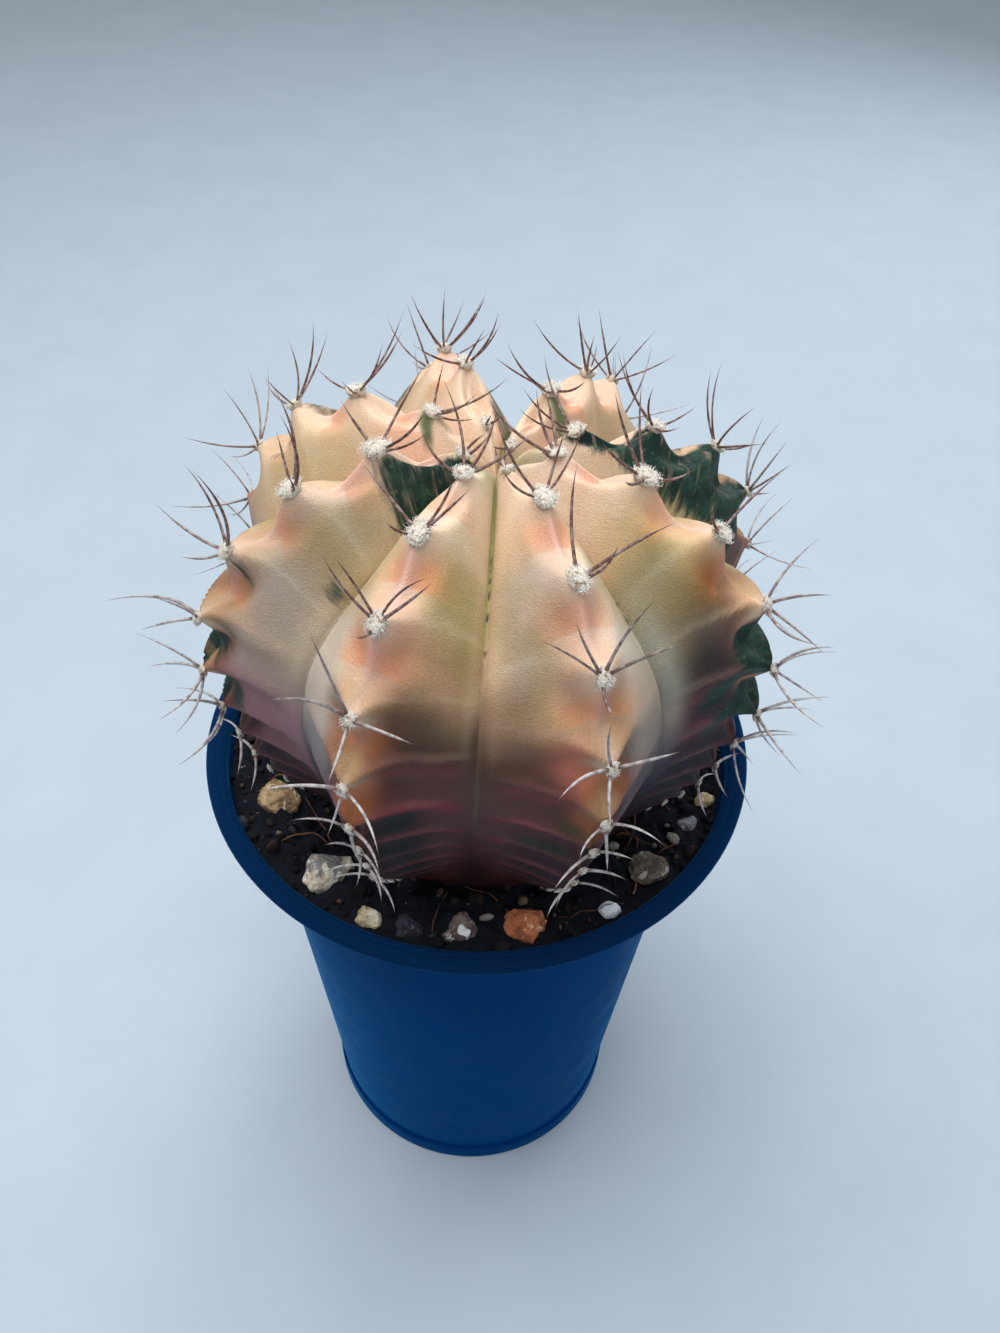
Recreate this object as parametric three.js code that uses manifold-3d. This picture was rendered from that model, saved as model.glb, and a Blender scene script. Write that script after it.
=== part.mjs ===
// A variegated chin cactus in a small navy plastic pot, with stones on its soil.
// Millimetres, +Z up. The origin is the middle of the pot's flat underside and -Y is the front.
import * as THREE from 'three';
import { mergeVertices } from 'three/addons/utils/BufferGeometryUtils.js';
import Module from 'manifold-3d';

const wasm = await Module();
wasm.setup();

// ---- Pot ------------------------------------------------------------------
const POT_HEIGHT = 95;
const LIP_RADIUS = 40;
const LIP_THICKNESS = 2;
const LIP_INNER_ROUND = 0.7;
const MOUTH_RADIUS = 37.1; // inside the lip
const WALL = 1.2;
const COLLAR_DROP = 3.4; // upright band under the lip
const NECK_DROP = 9.2; // where the flared mouth meets the tapered wall
const NECK_RADIUS = 32.6;
const BASE_RADIUS = 26;
const FOOT_HEIGHT = 4.5;
const FOOT_RADIUS = 26.8;
const FOOT_ROUND = 0.6;
const FLOOR = 2;
const DRAIN_COUNT = 6;
const DRAIN_RADIUS = 3;
const DRAIN_CIRCLE = 17;
const POT_SIDES = 48;

// ---- Clearances -----------------------------------------------------------
const GAP = 0.35; // between touching pieces
const MERGE_STEP = 1e-4;

// ---- Soil -----------------------------------------------------------------
const SOIL_DROP = 3.6; // below the lip
const FRONT_HEAP = 1.7; // the soil lies higher along the front of the lip
const FRONT_HEAP_RANGE = [8, 36]; // it rises over these distances in front of the middle
const GRIT_HEIGHT = 0.35;
const GRIT_WAVES = [[1.7, 0.6], [-0.9, 1.2], [1, 2.3]]; // radians per millimetre along X and Y
const GRIT_MARGIN = 4; // the grit flattens out over this width inside the lip
const MOUTH_STEP = 4; // height of the soil's last wall ring over the pot's neck
const SOIL_SIDES = 48;
const SOIL_RINGS = 9;

// ---- Cactus ---------------------------------------------------------------
// Each rib: its bearing from the front, positive to the right, in degrees, and how far from the
// crown its first areole sits, as a share of the areole spacing.
const RIBS = [
  { bearing: -68.6, phase: 0.59 },
  { bearing: -23.3, phase: 1.1 },
  { bearing: 22.3, phase: 0.51 },
  { bearing: 68.4, phase: 0.91 },
  { bearing: 110, phase: 1.13 },
  { bearing: 151, phase: 0.41 },
  { bearing: 198, phase: 0.66 },
  { bearing: 244.6, phase: 1.05 },
];
// Radius and height over the lip, from the crown down to the buried tip. A crest point and the
// groove point beside it lie on one cross line of the skin.
const CREST = [
  [0, 50.3], [5, 54.8], [14, 56.6], [25.7, 51.9], [33.3, 42.6], [35.4, 32.3], [33.5, 22.6],
  [30.1, 12], [24.6, 1.5], [20.5, -5.5], [15, -13], [7, -18], [0, -19],
];
const GROOVE = [
  [0, 50.3], [5, 50.4], [13, 47.6], [21.5, 43], [27, 37.3], [28.8, 29], [27.6, 20.5],
  [24, 10.5], [19.6, 1.5], [17.8, -5.5], [15, -13], [7, -18], [0, -19],
];
const BODY_CENTRE = { x: 1.4, y: -6.3, height: 42.8 };
const LEAN = { x: 0.021, y: 0.018 }; // radians, to the right and to the back
const AREOLE_SPACING = 10; // on the upper half
const EVEN_AREOLES = 4; // after these the spacing shrinks towards the base
const SHRINK_COUNT = 5.3;
const LAST_AREOLE = 13; // spacings from the crown to the soil
const FINE_ROW = 0.25; // rows of the skin, in areole spacings
const COARSE_ROW = 0.5;
const FINE_ROWS_TO = 8;
const SCALLOP = 0.22; // depth of the notch between two areoles, as a share of their spacing
const NOTCH_SKEW = 0.85; // under 1, the notch is deepest nearer the areole above it
const SCALLOP_FADE = 1.5;
const FLANK_ROUND = 1.2;
const FLANK_COLUMNS = [0.25, 0.62];
const TUFT_HEIGHT = 0.8;
const BURIED_ROWS = 5;

const SPINE_LENGTH = 9;
const SPINE_LENGTH_RANGE = [0.75, 1.15];
const SPINE_ROOT_RADIUS = 0.42;
const SPINE_MIDDLE_RADIUS = 0.3;
const FAN_JITTER = 24; // degrees
const SPINE_SINK = 1.3;
const SPINE_SPREAD = 1; // radians between a spine and the skin's normal
const SPINE_BEND = 1.6;
const SPINE_CLEARANCE = 4.5; // lowest height over the lip
// Turns of an areole's spines in degrees from straight down the rib, at the crown and once old.
const FAN = [{ young: 68, old: -84 }, { young: 150, old: 172 }, { young: -140, old: 80 }];
const CROWDED_AFTER = 8; // areoles this far down lack the first of these
const SEED = 17;

// ---- Stones ---------------------------------------------------------------
// Place on the soil, half sizes across, along and up, turn in degrees, and colour.
const STONES = [
  { name: 'stone_cream_large', at: [-19.4, -25.4], half: [3.5, 2.8, 3], turn: 35, colour: 0xcbb99a },
  { name: 'stone_cream_small', at: [-13, -32.2], half: [1.9, 1.6, 1.7], turn: 10, colour: 0xd9cdb0 },
  { name: 'stone_dark_grey', at: [-7.6, -33.2], half: [2.4, 1.9, 2], turn: -15, colour: 0x3c4048 },
  { name: 'stone_speckled', at: [-0.7, -33], half: [2.6, 2.1, 2.5], turn: 25, colour: 0x9a938c },
  { name: 'stone_orange', at: [7.6, -32.4], half: [2.7, 2.3, 2.6], turn: -10, colour: 0xa9683e },
  { name: 'stone_white', at: [18.6, -29.4], half: [1.4, 1.2, 1.2], turn: 0, colour: 0xf2f4f5 },
  { name: 'stone_brown_grey', at: [24.2, -22.6], half: [3, 2.5, 2.4], turn: 50, colour: 0x6d6359 },
  { name: 'stone_grey_small', at: [30.6, -13.6], half: [1.5, 1.3, 1.2], turn: 20, colour: 0x8e9096 },
  { name: 'stone_beige_small', at: [33.4, -9.4], half: [1.5, 1.3, 1.3], turn: 60, colour: 0xc2a883 },
  { name: 'stone_tan', at: [-28, -12.2], half: [3.2, 2.6, 2.5], turn: -25, colour: 0xb99a72 },
  { name: 'stone_back_grey', at: [17.5, 24.5], half: [2.7, 2.2, 2.1], turn: 15, colour: 0x77777a },
  { name: 'stone_back_tan', at: [-6.5, 27.5], half: [2.9, 2.4, 2.3], turn: 40, colour: 0xb39a78 },
  { name: 'stone_back_brown', at: [-24.5, 18], half: [2.4, 2.1, 2], turn: 70, colour: 0x84603f },
];
const STONE_SUNK = 0.4; // share of a stone's height that lies in its pit
const STONE_ROUGHNESS = 0.13;

// ---- Helpers --------------------------------------------------------------
function seededRandom(seed) {
  let state = seed;
  return () => {
    state = (state * 16807) % 2147483647;
    return state / 2147483647;
  };
}

function toSolid(geometry) {
  const bare = geometry.clone();
  bare.deleteAttribute('normal');
  bare.deleteAttribute('uv');
  const merged = mergeVertices(bare, MERGE_STEP);
  const corners = [];
  for (let i = 0; i < merged.index.count; i += 3) {
    const [a, b, c] = [0, 1, 2].map((k) => merged.index.getX(i + k));
    if (a !== b && b !== c && c !== a) {
      corners.push(a, b, c);
    }
  }
  return new wasm.Manifold(new wasm.Mesh({
    numProp: 3,
    vertProperties: new Float32Array(merged.attributes.position.array),
    triVerts: new Uint32Array(corners),
  }));
}

function toGeometry(solid) {
  const mesh = solid.getMesh();
  const geometry = new THREE.BufferGeometry();
  geometry.setAttribute('position', new THREE.BufferAttribute(mesh.vertProperties, 3));
  geometry.setIndex(new THREE.BufferAttribute(mesh.triVerts, 1));
  geometry.computeVertexNormals();
  return geometry;
}

// The outermost skin of a joined solid, with any void that the joins sealed filled in.
function outerSkin(solid) {
  const shells = toSolid(toGeometry(solid)).decompose();
  return shells.reduce((best, shell) => (shell.volume() > best.volume() ? shell : best));
}

function arc(centreX, centreY, radius, fromDegrees, toDegrees, steps) {
  const points = [];
  for (let i = 0; i <= steps; i += 1) {
    const angle = THREE.MathUtils.degToRad(fromDegrees + ((toDegrees - fromDegrees) * i) / steps);
    points.push([centreX + radius * Math.cos(angle), centreY + radius * Math.sin(angle)]);
  }
  return points;
}

// A closed skin from rings of points, each counter-clockwise from above, between two end points.
function loft(startPoint, rings, endPoint) {
  const sides = rings[0].length;
  const points = [startPoint, ...rings.flat(), endPoint];
  const corner = (ring, side) => 1 + ring * sides + (side % sides);
  const triangles = [];
  for (let side = 0; side < sides; side += 1) {
    triangles.push(0, corner(0, side + 1), corner(0, side));
    for (let ring = 0; ring + 1 < rings.length; ring += 1) {
      triangles.push(corner(ring, side), corner(ring, side + 1), corner(ring + 1, side + 1));
      triangles.push(corner(ring, side), corner(ring + 1, side + 1), corner(ring + 1, side));
    }
    const last = rings.length - 1;
    triangles.push(corner(last, side), corner(last, side + 1), points.length - 1);
  }
  const geometry = new THREE.BufferGeometry().setFromPoints(points);
  geometry.setIndex(triangles);
  return geometry;
}

// ---- Pot ------------------------------------------------------------------
function innerRadius(height) {
  const neckHeight = POT_HEIGHT - NECK_DROP;
  const collarHeight = POT_HEIGHT - COLLAR_DROP;
  if (height < neckHeight) {
    const share = height / neckHeight;
    return BASE_RADIUS + share * (NECK_RADIUS - BASE_RADIUS) - WALL;
  }
  const share = Math.min(1, (height - neckHeight) / (collarHeight - neckHeight));
  return NECK_RADIUS - WALL + share * (MOUTH_RADIUS - NECK_RADIUS + WALL);
}

function makePot() {
  const lipRound = LIP_THICKNESS / 2;
  const collarHeight = POT_HEIGHT - COLLAR_DROP;
  const neckHeight = POT_HEIGHT - NECK_DROP;
  const outside = [
    [0, 0],
    [FOOT_RADIUS - FOOT_ROUND, 0],
    [FOOT_RADIUS, FOOT_ROUND],
    [FOOT_RADIUS, FOOT_HEIGHT - FOOT_ROUND],
    [innerRadius(FOOT_HEIGHT) + WALL, FOOT_HEIGHT],
    [NECK_RADIUS, neckHeight],
    [MOUTH_RADIUS + WALL, collarHeight],
    [MOUTH_RADIUS + WALL, POT_HEIGHT - LIP_THICKNESS],
  ];
  const lip = [
    ...arc(LIP_RADIUS - lipRound, POT_HEIGHT - lipRound, lipRound, -90, 90, 4),
    ...arc(MOUTH_RADIUS + LIP_INNER_ROUND, POT_HEIGHT - LIP_INNER_ROUND, LIP_INNER_ROUND, 90, 180, 2),
  ];
  const inside = [
    [MOUTH_RADIUS, collarHeight],
    [innerRadius(neckHeight), neckHeight],
    [innerRadius(FLOOR), FLOOR],
    [0, FLOOR],
  ];
  const profile = [...outside, ...lip, ...inside].map(([r, z]) => new THREE.Vector2(r, z));
  const shell = new THREE.LatheGeometry(profile, POT_SIDES);
  shell.rotateX(Math.PI / 2);
  let pot = toSolid(shell);
  for (let i = 0; i < DRAIN_COUNT; i += 1) {
    const angle = (2 * Math.PI * i) / DRAIN_COUNT;
    const hole = new THREE.CylinderGeometry(DRAIN_RADIUS, DRAIN_RADIUS, 3 * FLOOR, 12);
    hole.rotateX(Math.PI / 2);
    hole.translate(DRAIN_CIRCLE * Math.cos(angle), DRAIN_CIRCLE * Math.sin(angle), FLOOR / 2);
    pot = pot.subtract(toSolid(hole));
  }
  return pot;
}

// ---- Cactus ---------------------------------------------------------------
const crestCurve = new THREE.SplineCurve(CREST.map(([r, z]) => new THREE.Vector2(r, z)));
const grooveCurve = new THREE.SplineCurve(GROOVE.map(([r, z]) => new THREE.Vector2(r, z)));
const crestLength = crestCurve.getLength();

// Distance along a crest from the crown, for a count of areole spacings.
function crestDistance(count) {
  if (count <= EVEN_AREOLES) {
    return AREOLE_SPACING * count;
  }
  const beyond = (count - EVEN_AREOLES) / SHRINK_COUNT;
  return AREOLE_SPACING * (EVEN_AREOLES + SHRINK_COUNT * (1 - Math.exp(-beyond)));
}

function areoleSpacing(count) {
  return crestDistance(count + 0.5) - crestDistance(count - 0.5);
}

// Moves a point of the upright plant, its height measured from the lip, to its leaning place.
function planted(x, y, height) {
  const up = height - BODY_CENTRE.height;
  return new THREE.Vector3(
    BODY_CENTRE.x + x + LEAN.x * up,
    BODY_CENTRE.y + y + LEAN.y * up,
    POT_HEIGHT + height - LEAN.x * x - LEAN.y * y,
  );
}

// A point of the plant at a parameter of the two curves: bearing in degrees, u from 0 on the
// crest to 1 in the groove, and moved in along the crest's normal.
function sectionPoint(t, bearing, u, inward) {
  const crest = crestCurve.getPoint(t);
  const groove = grooveCurve.getPoint(t);
  const tangent = crestCurve.getTangent(t);
  const weight = (1 - u) ** FLANK_ROUND;
  const r = groove.x + (crest.x - groove.x) * weight + tangent.y * inward;
  const z = groove.y + (crest.y - groove.y) * weight - tangent.x * inward;
  const angle = THREE.MathUtils.degToRad(bearing);
  return planted(r * Math.sin(angle), -r * Math.cos(angle), z);
}

// A point of the skin over the soil, count areole spacings from the crown and raised by raise.
// Between two areoles the crest is notched, and the notch fades down the rib's flanks.
function skinPoint(bearing, phase, u, count, raise = 0) {
  const distance = crestDistance(count);
  const t = crestCurve.getUtoTmapping(distance / crestLength);
  const sinceAreole = THREE.MathUtils.euclideanModulo(count - phase, 1);
  const notch = Math.sin(Math.PI * sinceAreole ** NOTCH_SKEW);
  const nearCrown = THREE.MathUtils.smoothstep(distance, 0, AREOLE_SPACING);
  const depth = SCALLOP * areoleSpacing(count) * notch * nearCrown * (1 - u) ** SCALLOP_FADE;
  return sectionPoint(t, bearing, u, depth - raise);
}

// The columns of the skin, once round the plant and counter-clockwise from above.
function skinColumns() {
  const columns = [];
  RIBS.forEach((rib, i) => {
    const next = RIBS[(i + 1) % RIBS.length];
    const nextBearing = next.bearing + (i + 1 < RIBS.length ? 0 : 360);
    const half = (nextBearing - rib.bearing) / 2;
    columns.push({ bearing: rib.bearing, phase: rib.phase, u: 0 });
    for (const u of FLANK_COLUMNS) {
      columns.push({ bearing: rib.bearing + u * half, phase: rib.phase, u });
    }
    columns.push({ bearing: rib.bearing + half, phase: rib.phase, u: 1 });
    for (const u of FLANK_COLUMNS.toReversed()) {
      columns.push({ bearing: nextBearing - u * half, phase: next.phase, u });
    }
  });
  return columns;
}

function skinRows() {
  const rows = [];
  for (let count = FINE_ROW; count < FINE_ROWS_TO; count += FINE_ROW) {
    rows.push(count);
  }
  for (let count = FINE_ROWS_TO; count <= LAST_AREOLE; count += COARSE_ROW) {
    rows.push(count);
  }
  return rows;
}

// The plant's skin without spines. grow swells its buried part, for the hole that it stands in.
function bodyGeometry(grow = 0) {
  const columns = skinColumns();
  const above = skinRows().map((row) => columns.map(({ bearing, phase, u }) => {
    // Rows bend so that one runs through each areole.
    const nearestRow = Math.round(phase / COARSE_ROW) * COARSE_ROW;
    const shift = (phase - nearestRow) * (1 - u) * Math.min(1, row / COARSE_ROW);
    const onAreole = u === 0 && Math.abs((row + shift - phase) % 1) < 1e-6;
    return skinPoint(bearing, phase, u, row + shift, grow + (onAreole ? TUFT_HEIGHT : 0));
  }));
  const lastShare = crestDistance(LAST_AREOLE) / crestLength;
  const buried = [];
  for (let i = 1; i <= BURIED_ROWS; i += 1) {
    const share = lastShare + ((1 - lastShare) * i) / (BURIED_ROWS + 1);
    const t = crestCurve.getUtoTmapping(share);
    buried.push(columns.map(({ bearing, u }) => sectionPoint(t, bearing, u, -grow)));
  }
  const crown = planted(0, 0, CREST[0][1] + grow);
  const tip = planted(0, 0, CREST.at(-1)[1] - grow);
  return loft(tip, [...buried.reverse(), ...above.reverse()], crown);
}

// One spine: three-sided, with a bend half way and its root sunk in the areole.
function spineGeometry(root, normal, down, turnDegrees, length) {
  const across = new THREE.Vector3().crossVectors(normal, down);
  const turn = THREE.MathUtils.degToRad(turnDegrees);
  const outward = down.clone().multiplyScalar(Math.cos(turn));
  outward.addScaledVector(across, Math.sin(turn));
  const direction = normal.clone().multiplyScalar(Math.cos(SPINE_SPREAD));
  direction.addScaledVector(outward, Math.sin(SPINE_SPREAD));
  const lowest = POT_HEIGHT + SPINE_CLEARANCE;
  const middle = root.clone().addScaledVector(direction, length / 2);
  const tip = root.clone().addScaledVector(direction, length);
  tip.addScaledVector(normal, SPINE_BEND);
  middle.z = Math.max(middle.z, lowest);
  tip.z = Math.max(tip.z, lowest);
  const start = root.clone().addScaledVector(normal, -SPINE_SINK);
  const side = new THREE.Vector3().crossVectors(direction, normal).normalize();
  const lift = new THREE.Vector3().crossVectors(side, direction).normalize();
  const ring = (centre, radius) => [0, 1, 2].map((i) => {
    const angle = (2 * Math.PI * i) / 3;
    const point = centre.clone().addScaledVector(lift, radius * Math.cos(angle));
    return point.addScaledVector(side, radius * Math.sin(angle));
  });
  const rings = [ring(start, SPINE_ROOT_RADIUS), ring(middle, SPINE_MIDDLE_RADIUS)];
  return loft(start, rings, tip);
}

function makeSpines() {
  const random = seededRandom(SEED);
  const spines = [];
  for (const { bearing, phase } of RIBS) {
    for (let count = phase; count < LAST_AREOLE; count += 1) {
      const root = skinPoint(bearing, phase, 0, count);
      const normal = skinPoint(bearing, phase, 0, count, 1).sub(root).normalize();
      const below = skinPoint(bearing, phase, 0, count + 0.5);
      const down = below.sub(root);
      down.addScaledVector(normal, -down.dot(normal)).normalize();
      if (root.z > POT_HEIGHT + SPINE_CLEARANCE) {
        const age = Math.min(1, count / EVEN_AREOLES);
        FAN.slice(count > CROWDED_AFTER ? 1 : 0).forEach(({ young, old }) => {
          const jitter = FAN_JITTER * (random() - 0.5);
          const turn = THREE.MathUtils.lerp(young, old, age) + jitter;
          const length = SPINE_LENGTH * THREE.MathUtils.lerp(...SPINE_LENGTH_RANGE, random());
          spines.push(toSolid(spineGeometry(root, normal, down, turn, length)));
        });
      }
    }
  }
  return wasm.Manifold.union(spines);
}

// ---- Stones and soil ------------------------------------------------------
function soilHeight(x, y) {
  const front = THREE.MathUtils.smoothstep(-y, ...FRONT_HEAP_RANGE);
  const flatFrom = MOUTH_RADIUS - GRIT_MARGIN;
  const inside = 1 - THREE.MathUtils.smoothstep(Math.hypot(x, y), flatFrom, MOUTH_RADIUS);
  const grit = GRIT_WAVES.reduce((sum, [along, away]) => sum + Math.sin(along * x + away * y), 0);
  return POT_HEIGHT - SOIL_DROP + FRONT_HEAP * front + GRIT_HEIGHT * grit * inside;
}

function stoneGeometry({ at, half, turn }, index, grow = 0) {
  const random = seededRandom(SEED * (index + 1));
  const stone = new THREE.IcosahedronGeometry(1, 1);
  stone.deleteAttribute('normal');
  stone.deleteAttribute('uv');
  const merged = mergeVertices(stone, MERGE_STEP);
  const position = merged.attributes.position;
  const least = Math.min(...half);
  for (let i = 0; i < position.count; i += 1) {
    const point = new THREE.Vector3().fromBufferAttribute(position, i);
    point.multiplyScalar(1 + STONE_ROUGHNESS * (2 * random() - 1) + grow / least);
    position.setXYZ(i, point.x * half[0], point.y * half[1], point.z * half[2]);
  }
  merged.rotateZ(THREE.MathUtils.degToRad(turn));
  const seat = soilHeight(at[0], at[1]) + half[2] * (1 - 2 * STONE_SUNK);
  merged.translate(at[0], at[1], seat);
  return merged;
}

function makeSoil() {
  const ringAt = (radiusOf, heightOf) => Array.from({ length: SOIL_SIDES }, (_, i) => {
    const angle = (2 * Math.PI * i) / SOIL_SIDES;
    const [alongX, alongY] = [Math.cos(angle), Math.sin(angle)];
    const radius = radiusOf(alongX, alongY);
    const [x, y] = [radius * alongX, radius * alongY];
    return new THREE.Vector3(x, y, heightOf(x, y));
  });
  const wallRing = (height) => ringAt(() => innerRadius(height) - GAP, () => height);
  const bottom = FLOOR + GAP;
  const neckHeight = POT_HEIGHT - NECK_DROP;
  const edgeOf = (alongX, alongY) => {
    const height = soilHeight(alongX * MOUTH_RADIUS, alongY * MOUTH_RADIUS);
    return innerRadius(height) - GAP;
  };
  const rings = [bottom, neckHeight, neckHeight + MOUTH_STEP].map(wallRing);
  for (let i = 0; i < SOIL_RINGS; i += 1) {
    const share = 1 - i / SOIL_RINGS;
    rings.push(ringAt((alongX, alongY) => share * edgeOf(alongX, alongY), soilHeight));
  }
  const start = new THREE.Vector3(0, 0, bottom);
  const top = new THREE.Vector3(0, 0, soilHeight(0, 0));
  let soil = toSolid(loft(start, rings, top)).subtract(toSolid(bodyGeometry(GAP)));
  STONES.forEach((stone, index) => {
    soil = soil.subtract(toSolid(stoneGeometry(stone, index, GAP)));
  });
  return soil;
}

// ---- Assembly -------------------------------------------------------------
function addPiece(group, name, geometry, colour, roughness) {
  const material = new THREE.MeshStandardMaterial({ color: colour, roughness, metalness: 0 });
  const mesh = new THREE.Mesh(geometry, material);
  mesh.name = name;
  group.add(mesh);
}

const plant = new THREE.Group();
addPiece(plant, 'pot', toGeometry(makePot()), 0x14315c, 0.45);
addPiece(plant, 'soil', toGeometry(makeSoil()), 0x1d1917, 0.95);
const cactus = outerSkin(toSolid(bodyGeometry()).add(makeSpines()));
addPiece(plant, 'cactus', toGeometry(cactus), 0xd9a878, 0.5);
STONES.forEach((stone, index) => {
  addPiece(plant, stone.name, stoneGeometry(stone, index), stone.colour, 0.85);
});

export default plant;
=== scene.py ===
import math
import bpy
import bmesh
import numpy as np
from mathutils import Matrix, Vector


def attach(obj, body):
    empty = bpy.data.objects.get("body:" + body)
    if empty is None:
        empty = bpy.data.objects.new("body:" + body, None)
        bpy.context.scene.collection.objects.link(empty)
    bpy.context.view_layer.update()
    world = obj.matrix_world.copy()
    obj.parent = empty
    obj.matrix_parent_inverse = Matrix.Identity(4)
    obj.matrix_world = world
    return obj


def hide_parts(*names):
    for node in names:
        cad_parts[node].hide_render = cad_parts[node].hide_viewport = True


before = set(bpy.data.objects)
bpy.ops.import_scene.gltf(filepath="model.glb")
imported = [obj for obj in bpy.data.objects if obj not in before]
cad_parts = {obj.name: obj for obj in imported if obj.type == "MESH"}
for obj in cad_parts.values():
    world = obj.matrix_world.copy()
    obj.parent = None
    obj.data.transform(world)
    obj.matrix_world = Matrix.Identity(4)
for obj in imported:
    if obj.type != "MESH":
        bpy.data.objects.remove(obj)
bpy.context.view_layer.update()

MM = 0.001

# ---- Sizes shared with the part's source, in millimetres -------------------------------------
POT_HEIGHT, LIP_RADIUS, LIP_THICKNESS, MOUTH_RADIUS = 95, 40, 2, 37.1
WALL, COLLAR_DROP, NECK_DROP, NECK_RADIUS = 1.2, 3.4, 9.2, 32.6
BASE_RADIUS, FOOT_HEIGHT, FOOT_RADIUS, FLOOR = 26, 4.5, 26.8, 2
DRAIN_COUNT, DRAIN_RADIUS, DRAIN_CIRCLE = 6, 3, 17
SOIL_DROP, FRONT_HEAP, GRIT_HEIGHT, GRIT_MARGIN = 3.6, 1.7, 0.35, 4
GRIT_WAVES = [(1.7, 0.6), (-0.9, 1.2), (1, 2.3)]
RIBS = [(-68.6, 0.59), (-23.3, 1.1), (22.3, 0.51), (68.4, 0.91),
        (110, 1.13), (151, 0.41), (198, 0.66), (244.6, 1.05)]
CREST = [(0, 50.3), (5, 54.8), (14, 56.6), (25.7, 51.9), (33.3, 42.6), (35.4, 32.3), (33.5, 22.6),
         (30.1, 12), (24.6, 1.5), (20.5, -5.5), (15, -13), (7, -18), (0, -19)]
GROOVE = [(0, 50.3), (5, 50.4), (13, 47.6), (21.5, 43), (27, 37.3), (28.8, 29), (27.6, 20.5),
          (24, 10.5), (19.6, 1.5), (17.8, -5.5), (15, -13), (7, -18), (0, -19)]
BODY_X, BODY_Y, BODY_HEIGHT = 1.4, -6.3, 42.8
LEAN_X, LEAN_Y = 0.021, 0.018
# Areoles down a crest: their spacing, how many keep it, how fast it shrinks, and the last count.
SPACING, EVEN, SHRINK, LAST = 10, 4, 5.3, 13
# Place on the soil, half sizes, turn in degrees, two main colours, a colour for veins and specks,
# and how angular the stone is.
STONES = {
    "stone_cream_large": ((-19.4, -25.4), (3.5, 2.8, 3), 35,
        (226, 210, 184), (140, 136, 134), (246, 240, 226), 0.9),
    "stone_cream_small": ((-13, -32.2), (1.9, 1.6, 1.7), 10,
        (216, 204, 170), (168, 150, 112), (240, 234, 216), 0.9),
    "stone_dark_grey": ((-7.6, -33.2), (2.4, 1.9, 2), -15,
        (52, 56, 66), (34, 36, 44), (96, 100, 110), 0.8),
    "stone_speckled": ((-0.7, -33), (2.6, 2.1, 2.5), 25,
        (150, 132, 126), (88, 76, 74), (246, 244, 244), 0.9),
    "stone_orange": ((7.6, -32.4), (2.7, 2.3, 2.6), -10,
        (206, 124, 84), (160, 92, 60), (236, 196, 160), 0.6),
    "stone_white": ((18.6, -29.4), (1.4, 1.2, 1.2), 0,
        (250, 252, 255), (226, 234, 244), (255, 255, 255), 0.5),
    "stone_brown_grey": ((24.2, -22.6), (3, 2.5, 2.4), 50,
        (112, 100, 88), (74, 66, 60), (178, 170, 160), 0.8),
    "stone_grey_small": ((30.6, -13.6), (1.5, 1.3, 1.2), 20,
        (150, 152, 158), (108, 110, 116), (196, 198, 202), 0.7),
    "stone_beige_small": ((33.4, -9.4), (1.5, 1.3, 1.3), 60,
        (202, 176, 136), (160, 132, 96), (230, 214, 186), 0.6),
    "stone_tan": ((-28, -12.2), (3.2, 2.6, 2.5), -25,
        (190, 160, 118), (140, 112, 80), (222, 204, 172), 0.8),
    "stone_back_grey": ((17.5, 24.5), (2.7, 2.2, 2.1), 15,
        (124, 124, 128), (84, 84, 88), (176, 176, 178), 0.8),
    "stone_back_tan": ((-6.5, 27.5), (2.9, 2.4, 2.3), 40,
        (184, 158, 120), (138, 112, 82), (220, 204, 172), 0.7),
    "stone_back_brown": ((-24.5, 18), (2.4, 2.1, 2), 70,
        (136, 98, 66), (96, 66, 46), (182, 150, 118), 0.6),
}
STONE_SUNK = 0.4

rng = np.random.default_rng(17)


# ---- Small helpers ---------------------------------------------------------------------------
def smooth(x, low, high):
    t = np.clip((np.asarray(x, float) - low) / (high - low), 0, 1)
    return t * t * (3 - 2 * t)


def mix(a, b, t):
    return a + (b - a) * t


def gauss(x, width):
    return np.exp(-(np.asarray(x) / width) ** 2)


def unit(v):
    v = np.asarray(v, float)
    return v / np.linalg.norm(v, axis=-1, keepdims=True)


def rgb(red, green, blue):
    """Linear colour from display values of 0 to 255."""
    c = np.array([red, green, blue]) / 255
    return np.where(c <= 0.04045, c / 12.92, ((c + 0.055) / 1.055) ** 2.4)


HASH_PRIMES = (73856093, 19349663, 83492791, 2654435761)
HASH_MIX = 1274126177


def hash_noise(points, seed):
    """Smooth value noise in -1..1, about one feature to a unit of the points."""
    points = np.asarray(points, float)
    cell = np.floor(points).astype(np.int64)
    part = points - cell
    part = part * part * (3 - 2 * part)
    total = 0
    for corner in np.ndindex(2, 2, 2):
        at = cell + np.array(corner)
        h = seed * HASH_PRIMES[3]
        for k in range(3):
            h = h ^ (at[..., k] * HASH_PRIMES[k])
        h = (h ^ (h >> 13)) * HASH_MIX & 0x7FFFFFFF
        value = (h ^ (h >> 16)) % 65536 / 32767.5 - 1
        weight = np.prod([part[..., k] if corner[k] else 1 - part[..., k] for k in range(3)], axis=0)
        total = total + value * weight
    return total


def fractal(points, octaves, seed):
    points = np.asarray(points, float)
    return sum(hash_noise(points * 2 ** k + 17.3 * k, seed + k) / 2 ** k for k in range(octaves)) / 1.6


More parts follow.
